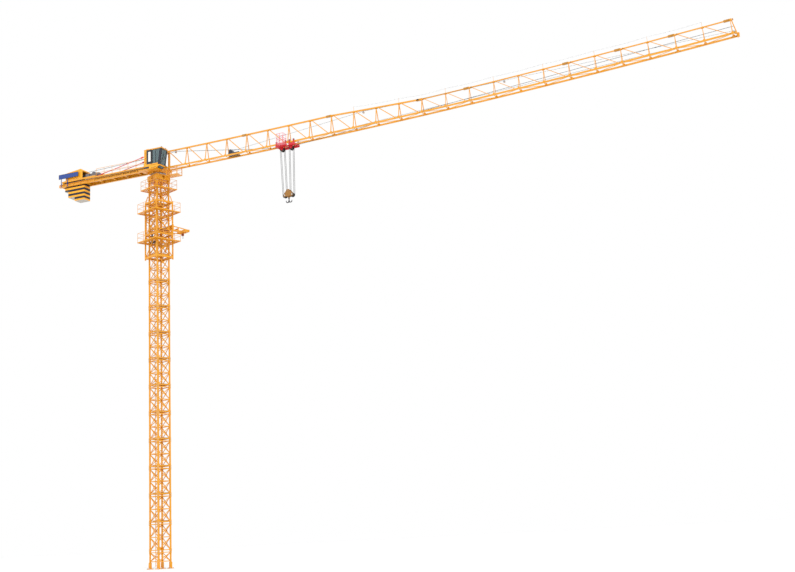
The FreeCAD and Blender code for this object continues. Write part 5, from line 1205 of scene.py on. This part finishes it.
def side_plates(s, low, high, reach, thickness=0.006):
    """Plates on the leaning side faces, between two heights, reaching either way along the jib.

    At a height h the face stands at y = foot * (1 - h / depth), and half a post outside that.
    """
    sizes = jib_sizes()
    foot = sizes.chord_pitch / 2 - 0.020
    shape = []
    for height, spread in ((low, reach), (high, reach * 0.45)):
        y = foot * (1 - height / depth(s)) + np.where(s > SLIM_START, sizes.slim_post,
                                                      sizes.post_size) / 2 + 0.0005
        shape.append([[rail(s + end * spread, y + out, height) for end in (-1, 1)]
                      for out in (0.0, thickness)])
    shape = np.array(shape)
    rings = np.stack([shape[:, 0, 0], shape[:, 0, 1], shape[:, 1, 1], shape[:, 1, 0]], 2)
    return skin(np.moveaxis(rings, 0, 1))


class CRANE_OT_jib_fittings(bpy.types.Operator):
    """Gussets at the nodes, and pins at the section joints in the darker orange copy that paints shade on
    them
    """
    bl_idname = "crane.jib_fittings"
    bl_label = "Jib fittings"

    def execute(self, context):
        sizes = jib_sizes()
        nodes = node_places()
        low = side_plates(nodes, np.full(len(nodes), 0.036), np.full(len(nodes), 0.105), 0.075)
        half = np.where(nodes > SLIM_START, sizes.slim_top_chord, sizes.chord_size) / 2
        tops = bars(rail(nodes - 0.07, 0.0, depth(nodes) - half - 0.016),
                    rail(nodes + 0.08, 0.0, depth(nodes) - half - 0.016),
                    0.008, 0.032)
        seats = bars(rail(nodes - 0.05, 0.0, depth(nodes) - half - 0.003),
                     rail(nodes + 0.05, 0.0, depth(nodes) - half - 0.003),
                     0.08, 0.006)
        piece("jib_gussets", joined([mirrored(low), tops, seats]), "sprayed_orange", "slewing_upper")

        ends = nodes[SECTION_ENDS]
        y = sizes.chord_pitch / 2 + 0.043
        holes = np.concatenate([rail(ends - 0.10, y, 0.0), rail(ends + 0.10, y, 0.0)])
        heads = turned_about([(0.024, 0.0), (0.024, 0.002), (0.019, 0.0035)], holes, Y, 20)
        inner = turned_about([(0.024, 0.0), (0.024, 0.004), (0.016, 0.010)], holes - Y * 0.086, -Y, 20)
        top_holes = np.concatenate([rail(ends - 0.10, 0.0, depth(ends)), rail(ends + 0.10, 0.0, depth(ends))])
        ups = turned_about([(0.026, -0.058), (0.026, 0.058)], top_holes, Y, 20)
        # Pins and sleeves take the darker orange copy: painted shade at the section joints.
        piece("jib_joint_pins", joined([mirrored(joined([heads, inner])), ups]), "shaded_orange",
              "slewing_upper")
        widths = np.where(ends > SLIM_START, sizes.slim_top_chord, sizes.chord_size) + 0.020
        sleeves = [bars(rail(ends[pick] - 0.30, 0.0, depth(ends[pick])),
                        rail(ends[pick] - 0.03, 0.0, depth(ends[pick])), wide, 0.104)
                   for pick, wide in ((widths == value, value) for value in np.unique(widths))]
        piece("jib_joint_sleeves", joined(sleeves), "shaded_orange", "slewing_upper")
        rollers = np.concatenate([[ROOT_ROLLER], OUTER_ROLLERS])
        at = rail(rollers, 0.0, depth(rollers) - 0.13)
        lips = turned_about([(0.045, 0.0), (0.051, 0.002), (0.051, 0.006), (0.045, 0.008)],
                            np.concatenate([at + Y * 0.0305, at - Y * 0.0385]), Y, 32)
        cheeks = bars(at + Y * 0.044 - Z * 0.02, at + Y * 0.044 + Z * 0.10, 0.030, 0.005, X)
        far_cheeks = bars(at - Y * 0.044 - Z * 0.02, at - Y * 0.044 + Z * 0.10, 0.030, 0.005, X)
        piece("jib_roller_lips", joined([lips, cheeks, far_cheeks]), "turned_steel", "slewing_upper")
        return {"FINISHED"}


class CRANE_OT_lifeline(bpy.types.Operator):
    """Lifeline on stanchions above the top chord, sagging a little between them"""
    bl_idname = "crane.lifeline"
    bl_label = "Lifeline"

    def execute(self, context):
        sizes = jib_sizes()
        nodes = node_places()
        held = nodes[8:23:2]
        top = sizes.slim_top_chord / 2
        feet, heads = rail(held, 0.0, depth(held) + top), rail(held, 0.0, depth(held) + top + 0.24)
        posts = rods(feet, heads, 0.006, 10)
        shoes = bars(rail(held - 0.03, 0.0, depth(held) + top + 0.004),
                     rail(held + 0.03, 0.0, depth(held) + top + 0.004), 0.05, 0.008)
        eyes = turned_about([(0.006, -0.003), (0.012, -0.003), (0.012, 0.003), (0.006, 0.003)], heads, X, 16,
                            looped=True)
        piece("lifeline_posts", joined([posts, shoes, eyes]), "sprayed_orange", "slewing_upper")
        s = np.linspace(held[0], held[-1], 12 * (len(held) - 1) + 1)
        part = np.linspace(0, len(held) - 1, len(s)) % 1.0
        line = rail(s, 0.0, depth(s) + top + 0.235 - 0.12 * part * (1 - part))
        piece("lifeline_wire", rope(line, 0.0035, 0.06), "greased_rope", "slewing_upper")
        return {"FINISHED"}


def trolley_axle(offset):
    """A trolley sheave's axle: offset along the rail and a drop below its axis, turned with the rail."""
    sizes, jib = rope_sizes(), jib_sizes()
    angle = jib.trolley_place / jib.bow_radius
    place = rail(jib.trolley_place)
    return place + X * (offset * math.cos(angle) + sizes.axle_drop * math.sin(angle)) + Z * (
        offset * math.sin(angle) - sizes.axle_drop * math.cos(angle))


def taut(name, start, end, radius, body_a=None, body="slewing_upper"):
    """A straight rope from one end to the other; between two bodies it rides on neither body."""
    sizes = rope_sizes()
    start, end = np.asarray(start, float), np.asarray(end, float)
    span = np.linalg.norm(end - start)
    count = int(np.clip(span / (sizes.lay / 3), 12, 160))
    path = start + (end - start) * np.linspace(0, 1, count)[:, None]
    strand = rope(path, radius, max(sizes.lay, 3.2 * span / count), Z, 4)
    made = piece(name, strand, "greased_rope", None if body_a else body)
    if body_a:
        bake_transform(made)
    return made


class CRANE_OT_jib_ropes(bpy.types.Operator):
    """Hoist rope along the jib to and from the trolley, and the rope that hauls the trolley"""
    bl_idname = "crane.jib_ropes"
    bl_label = "Jib ropes"

    def execute(self, context):
        sizes, jib = rope_sizes(), jib_sizes()
        low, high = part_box("hoist_drum")
        drum = (np.array(low) + np.array(high)) / 2
        y = 0.024
        t = np.linspace(math.pi * 0.52, math.pi * 0.30, 8)
        over = HEAD_SHEAVE + np.outer(np.cos(t), X) * 0.092 + np.outer(np.sin(t), Z) * 0.092
        roller = rail(ROOT_ROLLER, y, depth(ROOT_ROLLER) - 0.13 + 0.045 + sizes.rope)
        leave = drum + Z * (DRUM_RADIUS + 0.022 + sizes.rope)
        path = np.concatenate([leave + (over[0] - leave) * np.linspace(0, 1, 60)[:-1, None], over,
                               over[-1] + (roller - over[-1]) * np.linspace(0, 1, 20)[1:, None]])
        piece("hoist_rope_lead", rope(path, sizes.rope, sizes.lay * 2, Z, 4), "greased_rope", "slewing_upper")
        taut("hoist_rope_inner", roller,
             trolley_axle(TROLLEY_SHEAVES[0]) + Y * 0.060 + Z * (sizes.upper_sheave + sizes.rope) - X * 0.02,
             sizes.rope, "slewing_upper")
        tip = rail(node_places()[-1] + 0.10, 0.0, 0.42)
        taut("hoist_rope_outer",
             trolley_axle(TROLLEY_SHEAVES[1]) + Y * 0.060 + Z * (sizes.upper_sheave + sizes.rope) + X * 0.02,
             tip,
             sizes.rope, "trolley")
        end = node_places()[-1] + 0.06
        rollers = rail(OUTER_ROLLERS, -y, depth(OUTER_ROLLERS) - 0.13 + 0.045 + sizes.hauling_rope)
        winch_low, winch_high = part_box("trolley_winch")
        winch = np.array([winch_low[0] + 0.23, -y, winch_high[2] - 0.06])
        corners = np.array([winch, rollers[0], rollers[1], rail(end, -y, 0.19)])
        legs = [a + (b - a) * np.linspace(0, 1, 60)[:, None] for a, b in zip(corners, corners[1:])]
        path = np.concatenate([legs[0], legs[1][1:], legs[2][1:]])
        piece("hauling_rope_return", rope(path, sizes.hauling_rope, sizes.lay * 3, Z, 4), "greased_rope",
              "slewing_upper")
        pulley = rail(end, -y, 0.13)
        wheel = turned_about(grooved(0.062, 0.026, 0.012, 0.006), [pulley], Y, 40, looped=True)
        axle = rods([pulley - Y * 0.03], [pulley + Y * 0.03], 0.012)
        piece("tip_pulley", joined([wheel, axle]), "turned_steel", "slewing_upper")
        yoke = joined([bars([pulley + Y * side * 0.024], [rail(end + 0.07, -y + side * 0.024, 0.02)], 0.006,
                            0.04) for side in (-1, 1)])
        # The yoke takes the darker orange copy: painted shade at the jib tip.
        piece("tip_pulley_yoke", yoke, "shaded_orange", "slewing_upper")
        taut("hauling_rope_outer", rail(jib.trolley_place + TROLLEY_END, -y, 0.060),
             rail(end - 0.01, -y, 0.070), sizes.hauling_rope,
             "trolley")
        taut("hauling_rope_inner", np.array([winch_low[0] + 0.23, -y, winch_low[2] + 0.10]),
             rail(jib.trolley_place - TROLLEY_END, -y, 0.075), sizes.hauling_rope, "slewing_upper")
        return {"FINISHED"}


# ---- counter jib and winch ----
class CRANE_OT_counter_jib_fittings(bpy.types.Operator):
    """Toe boards, cable, girder stiffeners, slab loops, tie-rod links and the frame of the bare board"""
    bl_idname = "crane.counter_jib_fittings"
    bl_label = "Counter jib fittings"

    def execute(self, context):
        sizes = jib_sizes()
        low, high = (np.array(corner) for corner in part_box("counter_jib_deck"))
        board = bars([(low[0] + 0.02, high[1] - 0.003, high[2] + 0.035)],
                     [(high[0] - 0.02, high[1] - 0.003, high[2] + 0.035)],
                     0.004, 0.07)
        girder_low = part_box("counter_jib_frame")[0][2]
        stations = np.arange(-6.45, -0.5, 0.475)
        web = crossed_places(stations, [sizes.girder_pitch / 2 + 0.0305], [girder_low + 0.0145])
        ribs = bars(web, web + Z * (sizes.girder_depth - 0.029), 0.008, 0.046, X)
        piece("counter_jib_boards_and_ribs", mirrored(joined([board, ribs])), "sprayed_orange",
              "slewing_upper")
        u = np.linspace(0, 1, 80)
        cable = np.stack([-0.42 - 3.6 * u, np.full(80, -0.288),
                          girder_low + 0.135 - 0.012 * np.abs(np.sin(u * np.pi * 8))], -1)
        piece("counter_jib_cable", swept(cable, circle(10) * 0.012), "black_rubber", "slewing_upper")

        slab_high = np.array(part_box("counterweight_slabs")[1])
        t = np.linspace(0, np.pi, 14)
        arch = np.stack([0 * t, 0.035 * np.cos(t), 0.040 * np.sin(t) - 0.002], -1)
        loop = swept(arch, circle(10) * 0.007, X)
        middles = slab_high[0] - 0.1075 - 0.221 * np.arange(6)
        loops = moved(loop, crossed_places(middles, [-0.14, 0.14], [slab_high[2]]))
        piece("slab_lifting_loops", loops, "forged_black", "slewing_upper")

        rod_low, rod_high = (np.array(corner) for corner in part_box("tie_rods"))
        y = sizes.girder_pitch / 2
        head = np.array([rod_high[0] - 0.030, y, rod_high[2] - 0.034])
        foot = np.array([rod_low[0] + 0.060, y, rod_low[2] + 0.030])
        along = unit(head - foot)
        sleeve = [(0.022, -0.078), (0.040, -0.070), (0.040, 0.070), (0.022, 0.078)]
        flip = np.array([1, -1, 1])
        near = turned_about(sleeve, [(head - along * 0.50) * flip, (foot + along * 0.33) * flip],
                            along * flip, 28)
        far = turned_about(sleeve, [head - along * 0.80, foot + along * 0.33], along, 28)
        piece("tie_links_near", near, "link_red", "slewing_upper")
        piece("tie_links_far", far, "sprayed_red", "slewing_upper")
        pins = turned_about([(0.018, -0.042), (0.022, -0.038), (0.022, 0.038), (0.018, 0.042)], [foot, head],
                            Y, 24)
        piece("tie_pins", mirrored(pins), "forged_black", "slewing_upper")

        board_low, board_high = (np.array(corner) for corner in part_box("sign_panel"))
        y, z0, z1 = board_low[1] + 0.006, board_high[2] - 0.25, board_high[2]
        corners = np.array([(board_low[0], y, z0), (board_high[0], y, z0), (board_high[0], y, z1),
                            (board_low[0], y, z1)])
        rim = bars(corners, np.roll(corners, -1, 0), 0.018, 0.018, Y)
        uprights = bars([(x, board_low[1] + 0.023, z0)
                         for x in np.linspace(board_low[0] + 0.25, board_high[0] - 0.25, 3)],
                        [(x, board_low[1] + 0.023, z1)
                         for x in np.linspace(board_low[0] + 0.25, board_high[0] - 0.25, 3)], 0.02, 0.02, X)
        piece("board_frame", joined([rim, uprights]), "sprayed_navy", "slewing_upper")
        return {"FINISHED"}


class CRANE_OT_winch_fittings(bpy.types.Operator):
    """Rope on the drum, motor fins and cowl, control cabinet, and ribs and bolts on the cover"""
    bl_idname = "crane.winch_fittings"
    bl_label = "Winch fittings"

    def execute(self, context):
        sizes = rope_sizes()
        low, high = (np.array(corner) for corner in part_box("hoist_drum"))
        centre = (low + high) / 2
        turns, pitch = 17.5, 0.0214
        t = np.linspace(0, turns, int(turns * 40))
        coil = centre + np.stack([np.cos(t * 2 * np.pi) * (DRUM_RADIUS + sizes.rope), (t - turns / 2) * pitch,
                                  np.sin(t * 2 * np.pi) * (DRUM_RADIUS + sizes.rope)], -1)
        piece("drum_rope", rope(coil, sizes.rope, sizes.lay, Y, 4), "greased_rope", "hoist_drum")
        rims = turned_about([(0.172, -0.003), (0.190, -0.003), (0.190, 0.003), (0.172, 0.003)],
                            [centre + Y * side * 0.2135 for side in (-1, 1)], Y, 64, looped=True)
        around = circle(8) * 0.11
        faces = np.concatenate([np.column_stack([centre[0] + around[:, 0],
                                                 np.full(8, centre[1] + side * 0.210),
                                                 centre[2] + around[:, 1]])
                                for side in (-1, 1)])
        heads = joined([bolts(faces[:8], -Y, 0.014, 0.010), bolts(faces[8:], Y, 0.014, 0.010)])
        piece("drum_rims_and_bolts", joined([rims, heads]), "turned_steel", "hoist_drum")

        motor_low = np.array(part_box("winch_motor")[0])
        axis_z = motor_low[2] + 0.16
        fins = bars([(-4.53, 0.122 * math.cos(a), axis_z + 0.122 * math.sin(a))
                     for a in np.linspace(0.2, 2.94, 15)],
                    [(-4.12, 0.122 * math.cos(a), axis_z + 0.122 * math.sin(a))
                     for a in np.linspace(0.2, 2.94, 15)], 0.007, 0.020)
        bands = turned_about([(0.118, -0.012), (0.134, -0.010), (0.134, 0.010), (0.118, 0.012)],
                             [(-4.555, 0, axis_z), (-4.10, 0, axis_z)], X, 48, looped=True)
        cowl = turned_about([(0.10, 0.0), (0.126, 0.008), (0.128, 0.06), (0.120, 0.075), (0.09, 0.082)],
                            [(-4.035, 0, axis_z)], X, 48)
        box = joined([block((-4.40, -0.07, axis_z + 0.125), (-4.24, 0.07, axis_z + 0.195), 0.008),
                      block((-4.28, 0.16, motor_low[2] + 0.061), (-4.02, 0.30, motor_low[2] + 0.30), 0.010)])
        piece("winch_motor_fins", joined([fins, bands, cowl, box]), "sprayed_grey", "slewing_upper")

        house_low, house_high = (np.array(corner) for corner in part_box("winch_housing"))
        x0, x1, y0 = house_low[0], house_high[0], house_low[1]
        slats = bars([(x0 + 0.10, y0 - 0.004, z) for z in house_low[2] + 0.10 + 0.035 * np.arange(7)],
                     [(x0 + 0.38, y0 - 0.004, z) for z in house_low[2] + 0.10 + 0.035 * np.arange(7)], 0.010,
                     0.012)
        seams = bars([(x, y0 - 0.003, house_low[2] + 0.01) for x in (x0 + 0.45, x0 + 0.80)],
                     [(x, y0 - 0.003, house_high[2] - 0.155) for x in (x0 + 0.45, x0 + 0.80)], 0.012, 0.006,
                     X)
        foot = bars([(x0, y0 - 0.004, house_low[2] + 0.02)], [(x1, y0 - 0.004, house_low[2] + 0.02)], 0.008,
                    0.04)
        piece("winch_cover_ribs", mirrored(joined([slats, seams, foot])), "sprayed_yellow", "slewing_upper")
        heads = bolts([(x, y0 - 0.008, house_low[2] + 0.02) for x in np.linspace(x0 + 0.05, x1 - 0.05, 9)],
                      -Y, 0.009, 0.006)
        frame_bolts = bolts(crossed_places(np.linspace(-6.0, -4.0, 9), [-0.385], [house_low[2] - 0.045]), -Y,
                            0.011, 0.008)
        piece("winch_bolts", mirrored(joined([heads, frame_bolts])), "bright_steel", "slewing_upper")
        return {"FINISHED"}


# ---- trolley, ropes and hook ----
def on_rail(part):
    """A part made about the trolley's own place, turned with the rail and moved there."""
    jib = jib_sizes()
    angle = jib.trolley_place / jib.bow_radius
    c, s = math.cos(angle), math.sin(angle)
    turn = np.array([(c, 0, -s), (0, 1, 0), (s, 0, c)])
    return Part(part.points @ turn.T + rail(jib.trolley_place), part.faces)


class CRANE_OT_trolley_fittings(bpy.types.Operator):
    """Wheel caps, bolts and the wire mesh of the basket"""
    bl_idname = "crane.trolley_fittings"
    bl_label = "Trolley fittings"

    def execute(self, context):
        jib = jib_sizes()
        face = (jib.chord_pitch + jib.chord_size) / 2 + 0.025
        wheels = np.array([x for x0, x1 in ((-0.56, 0.09), (0.20, 0.56)) for x in (x0 + 0.058, x1 - 0.058)])
        caps = turned_about([(0.030, 0.0), (0.030, 0.010), (0.022, 0.016), (0.006, 0.018)],
                            crossed_places(wheels, [face], [jib.chord_size / 2 + 0.0558]), Y, 24)
        piece("trolley_axle_caps", mirrored(on_rail(caps)), "wheel_red", "trolley")
        heads = bolts(crossed_places(np.concatenate([np.linspace(-0.52, 0.05, 6),
                                                     np.linspace(0.24, 0.52, 4)]), [face],
                                     [-0.09]), Y, 0.010, 0.008)
        piece("trolley_bolts", mirrored(on_rail(heads)), "bright_steel", "trolley")

        x0, x1, y0, y1, z0 = -0.318, 0.086, -face - 0.328, -face - 0.003, -0.108
        xs, ys = np.linspace(x0, x1, 7), np.linspace(y0 + 0.008, y1 - 0.008, 6)
        rise, top = np.arange(z0 + 0.07, z0 + 0.27, 0.07), z0 + 0.270
        near = joined([rods([(x, y0 + 0.004, z0 + 0.01) for x in xs], [(x, y0 + 0.004, top) for x in xs],
                            0.0026, 6),
                       rods([(x0, y0 + 0.004, z) for z in rise], [(x1, y0 + 0.004, z) for z in rise], 0.0026,
                            6)])
        ends = joined([joined([rods([(x, y, z0 + 0.01) for y in ys], [(x, y, top) for y in ys], 0.0026, 6),
                               rods([(x, y0, z) for z in rise], [(x, y1, z) for z in rise], 0.0026, 6)])
                       for x in (x0 + 0.004, x1 - 0.004)])
        floor = joined([rods([(x, y0, z0 + 0.014) for x in xs], [(x, y1, z0 + 0.014) for x in xs], 0.003, 6),
                        rods([(x0, y, z0 + 0.014) for y in ys], [(x1, y, z0 + 0.014) for y in ys], 0.003, 6)])
        piece("basket_mesh", on_rail(joined([near, ends, floor])), "faded_red_basket", "trolley")
        return {"FINISHED"}


class CRANE_OT_sheaves(bpy.types.Operator):
    """Grooved sheaves on the trolley and in the hook block, with hubs"""
    bl_idname = "crane.sheaves"
    bl_label = "Sheaves"

    def execute(self, context):
        sizes, jib = rope_sizes(), jib_sizes()
        upper = np.array([trolley_axle(offset) + Y * side * sizes.sheave_offset for offset in TROLLEY_SHEAVES
                          for side in (-1, 1)])
        wheels = turned_about(grooved(sizes.upper_sheave + 0.008, 0.034, 0.0205, 0.0085), upper, Y, 56,
                              looped=True)
        piece("grooved_trolley_sheaves", wheels, "cast_iron", "trolley", ["trolley_sheaves"])
        middle = rail(jib.trolley_place)
        lower = np.array([(middle[0] + side_x * sizes.block_pitch / 2, side * sizes.sheave_offset,
                           sizes.block_height)
                          for side_x in (-1, 1) for side in (-1, 1)])
        wheels = turned_about(grooved(sizes.lower_sheave + 0.008, 0.034, 0.0205, 0.0085), lower, Y, 56,
                              looped=True)
        piece("grooved_block_sheaves", wheels, "cast_iron", "hook_block", ["block_sheaves"])
        return {"FINISHED"}


class CRANE_OT_rope_falls(bpy.types.Operator):
    """Eight falls between the sheaves, and the half turns over and under them"""
    bl_idname = "crane.rope_falls"
    bl_label = "Rope falls"

    def execute(self, context):
        sizes, jib = rope_sizes(), jib_sizes()
        middle = rail(jib.trolley_place)
        reach_up = sizes.upper_sheave + sizes.rope + ROPE_SEAT
        reach_down = sizes.lower_sheave + sizes.rope + ROPE_SEAT
        t = np.linspace(0, np.pi, 30)
        overs, unders, falls = [], [], []
        for offset, side_x in zip(TROLLEY_SHEAVES, (-1, 1)):
            top = trolley_axle(offset)
            foot = np.array([middle[0] + side_x * sizes.block_pitch / 2, 0.0, sizes.block_height])
            for side in (-1, 1):
                y = Y * side * sizes.sheave_offset
                overs.append(rope(top + y + np.outer(np.cos(t), X) * reach_up + np.outer(np.sin(t),
                                                                                         Z) * reach_up,
                                  sizes.rope, sizes.lay, Y, 6))
                unders.append(rope(foot + y + np.outer(np.cos(t), X) * reach_down - np.outer(np.sin(t),
                                                                                             Z) * reach_down,
                                   sizes.rope, sizes.lay, Y, 6))
                for hand in (-1, 1):
                    start, end = top + y + X * hand * reach_up, foot + y + X * hand * reach_down
                    falls.append(rope(start + (end - start) * np.linspace(0, 1, 90)[:, None], sizes.rope,
                                      sizes.lay, X, 6))
        piece("rope_over_trolley_sheaves", joined(overs), "greased_rope", "trolley")
        piece("rope_under_block_sheaves", joined(unders), "greased_rope", "hook_block")
        made = piece("laid_rope_falls", joined(falls), "greased_rope", None, ["hoist_ropes"])
        tuple(middle * [1, 0, 0] + Z * trolley_axle(0)[2])
        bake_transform(made)
        return {"FINISHED"}


class CRANE_OT_hook_block_fittings(bpy.types.Operator):
    """Axle caps, keeper plates, bolts and rubbing strips on the hook block"""
    bl_idname = "crane.hook_block_fittings"
    bl_label = "Hook block fittings"

    def execute(self, context):
        sizes, jib = rope_sizes(), jib_sizes()
        x, z, face = rail(jib.trolley_place)[0], sizes.block_height, 0.095
        ends = np.array([(x + side * sizes.block_pitch / 2, face, z) for side in (-1, 1)])
        caps = turned_about([(0.038, 0.0), (0.038, 0.004), (0.030, 0.010), (0.008, 0.011)], ends, Y, 28)
        keepers = joined([block((x + side * sizes.block_pitch / 2 - 0.045, face, z + 0.042),
                                (x + side * sizes.block_pitch / 2 + 0.045, face + 0.005, z + 0.062), 0.001,
                                0.002) for side in (-1, 1)])
        heads = bolts(np.concatenate([ends + [dx, 0.005, 0.052] for dx in (-0.033, 0.033)] +
                                     [[(x + dx, face, z - 0.045) for dx in (-0.05, 0.05)],
                                      [(x + dx, face, z + 0.225) for dx in (-0.026, 0.026)]]), Y, 0.009,
                      0.007)
        piece("hook_block_pins", mirrored(joined([caps, keepers, heads])), "bright_steel", "hook_block")
        corners = np.array([(-0.27, -0.068), (0.27, -0.068), (0.27, 0.045), (0.058, 0.303), (-0.058, 0.303),
                            (-0.27, 0.045)])
        path = np.column_stack([x + corners[:, 0] * 0.985, np.full(6, face + 0.002),
                                z + corners[:, 1] * 0.97])
        strips = bars(path, np.roll(path, -1, 0), 0.008, 0.016, Y)
        piece("hook_block_strips", mirrored(strips), "sprayed_ochre", "hook_block")
        return {"FINISHED"}


class CRANE_OT_hook(bpy.types.Operator):
    """The forged double hook: a spindle with a prong to either side, its section swelling at the bowl"""
    bl_idname = "crane.hook"
    bl_label = "Hook"

    def execute(self, context):
        jib = jib_sizes()
        high = np.array(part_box("hook")[1])
        x, bottom = rail(jib.trolley_place)[0], rope_sizes().block_height - 0.420
        middle = bottom + 0.115
        spindle = turned_about([(0.006, bottom + 0.028), (0.020, bottom + 0.034), (0.029, bottom + 0.060),
                                (0.031, bottom + 0.11),
                                (0.027, bottom + 0.17), (0.022, bottom + 0.225), (0.0435, bottom + 0.252),
                                (0.045, bottom + 0.256),
                                (0.045, bottom + 0.2735), (0.022, bottom + 0.2742), (0.022, high[2])],
                               [(x, 0, 0)], Z, 40)
        around = circle(24)
        prongs = []
        for side in (-1, 1):
            t = np.linspace(math.pi * 0.93, math.pi * 2.0, 40)
            centre_x, ring = 0.090, 0.0712
            bowl = np.stack([centre_x + ring * np.cos(t), 0 * t, middle + ring * np.sin(t)], -1)
            u = np.linspace(0, 1, 12)[1:, None]
            tip = bowl[-1] + X * 0.006 * u + Z * 0.050 * u
            path = np.concatenate([bowl, tip])
            run = np.linspace(0, 1, len(path))
            thick = np.where(run < 0.78, 0.0215 + 0.0050 * np.sin(np.pi * np.minimum(run / 0.78, 1)),
                             0.0205 * np.sqrt(np.maximum(1 - ((run - 0.78) / 0.22) ** 2.2, 0.02)))
            section = around[None] * np.stack([thick * 0.88, thick], -1)[:, None]
            path = path * [side, 1, 1] + [x, 0, 0]
            prongs.append(swept(path, section, Y))
        piece("forged_double_hook", joined([spindle] + prongs), "forged_black", "hook", ["hook"], 60.0)
        return {"FINISHED"}


# ---- the add-on ----
class CRANE_PT_panel(bpy.types.Panel):
    """The crane's pieces, in the order they are made"""
    bl_idname = "CRANE_PT_panel"
    bl_label = "Tower Crane"
    bl_space_type = "VIEW_3D"
    bl_region_type = "UI"
    bl_category = "Crane"

    def draw(self, context):
        for group in SIZE_GROUPS:
            sizes = getattr(context.scene, group)
            box = self.layout.box()
            for name in sizes.__annotations__:
                box.prop(sizes, name)
        for operator in OPERATORS:
            self.layout.operator(operator.bl_idname)


SIZE_GROUPS = {"crane_tower": CraneTowerSizes, "crane_jib": CraneJibSizes, "crane_ropes": CraneRopeSizes,
               "crane_colours": CraneColours}
OPERATORS = (CRANE_OT_finishes, CRANE_OT_stage, CRANE_OT_mast_fittings, CRANE_OT_cage_fittings,
             CRANE_OT_slewing_fittings, CRANE_OT_cab_inside, CRANE_OT_cab_trim, CRANE_OT_head_fittings,
             CRANE_OT_jib_fittings, CRANE_OT_lifeline, CRANE_OT_jib_ropes, CRANE_OT_counter_jib_fittings,
             CRANE_OT_winch_fittings, CRANE_OT_trolley_fittings, CRANE_OT_sheaves, CRANE_OT_rope_falls,
             CRANE_OT_hook_block_fittings, CRANE_OT_hook)


def register():
    """Register the size groups, the operators and the panel."""
    for name, group in SIZE_GROUPS.items():
        bpy.utils.register_class(group)
        setattr(bpy.types.Scene, name, bpy.props.PointerProperty(type=group))
    for operator in OPERATORS:
        bpy.utils.register_class(operator)
    bpy.utils.register_class(CRANE_PT_panel)


def unregister():
    """Undo register."""
    bpy.utils.unregister_class(CRANE_PT_panel)
    for operator in reversed(OPERATORS):
        bpy.utils.unregister_class(operator)
    for name, group in SIZE_GROUPS.items():
        delattr(bpy.types.Scene, name)
        bpy.utils.unregister_class(group)


def main():
    register()
    for operator in OPERATORS:
        group, name = operator.bl_idname.split(".")
        getattr(getattr(bpy.ops, group), name)()


if __name__ == "__main__":
    main()
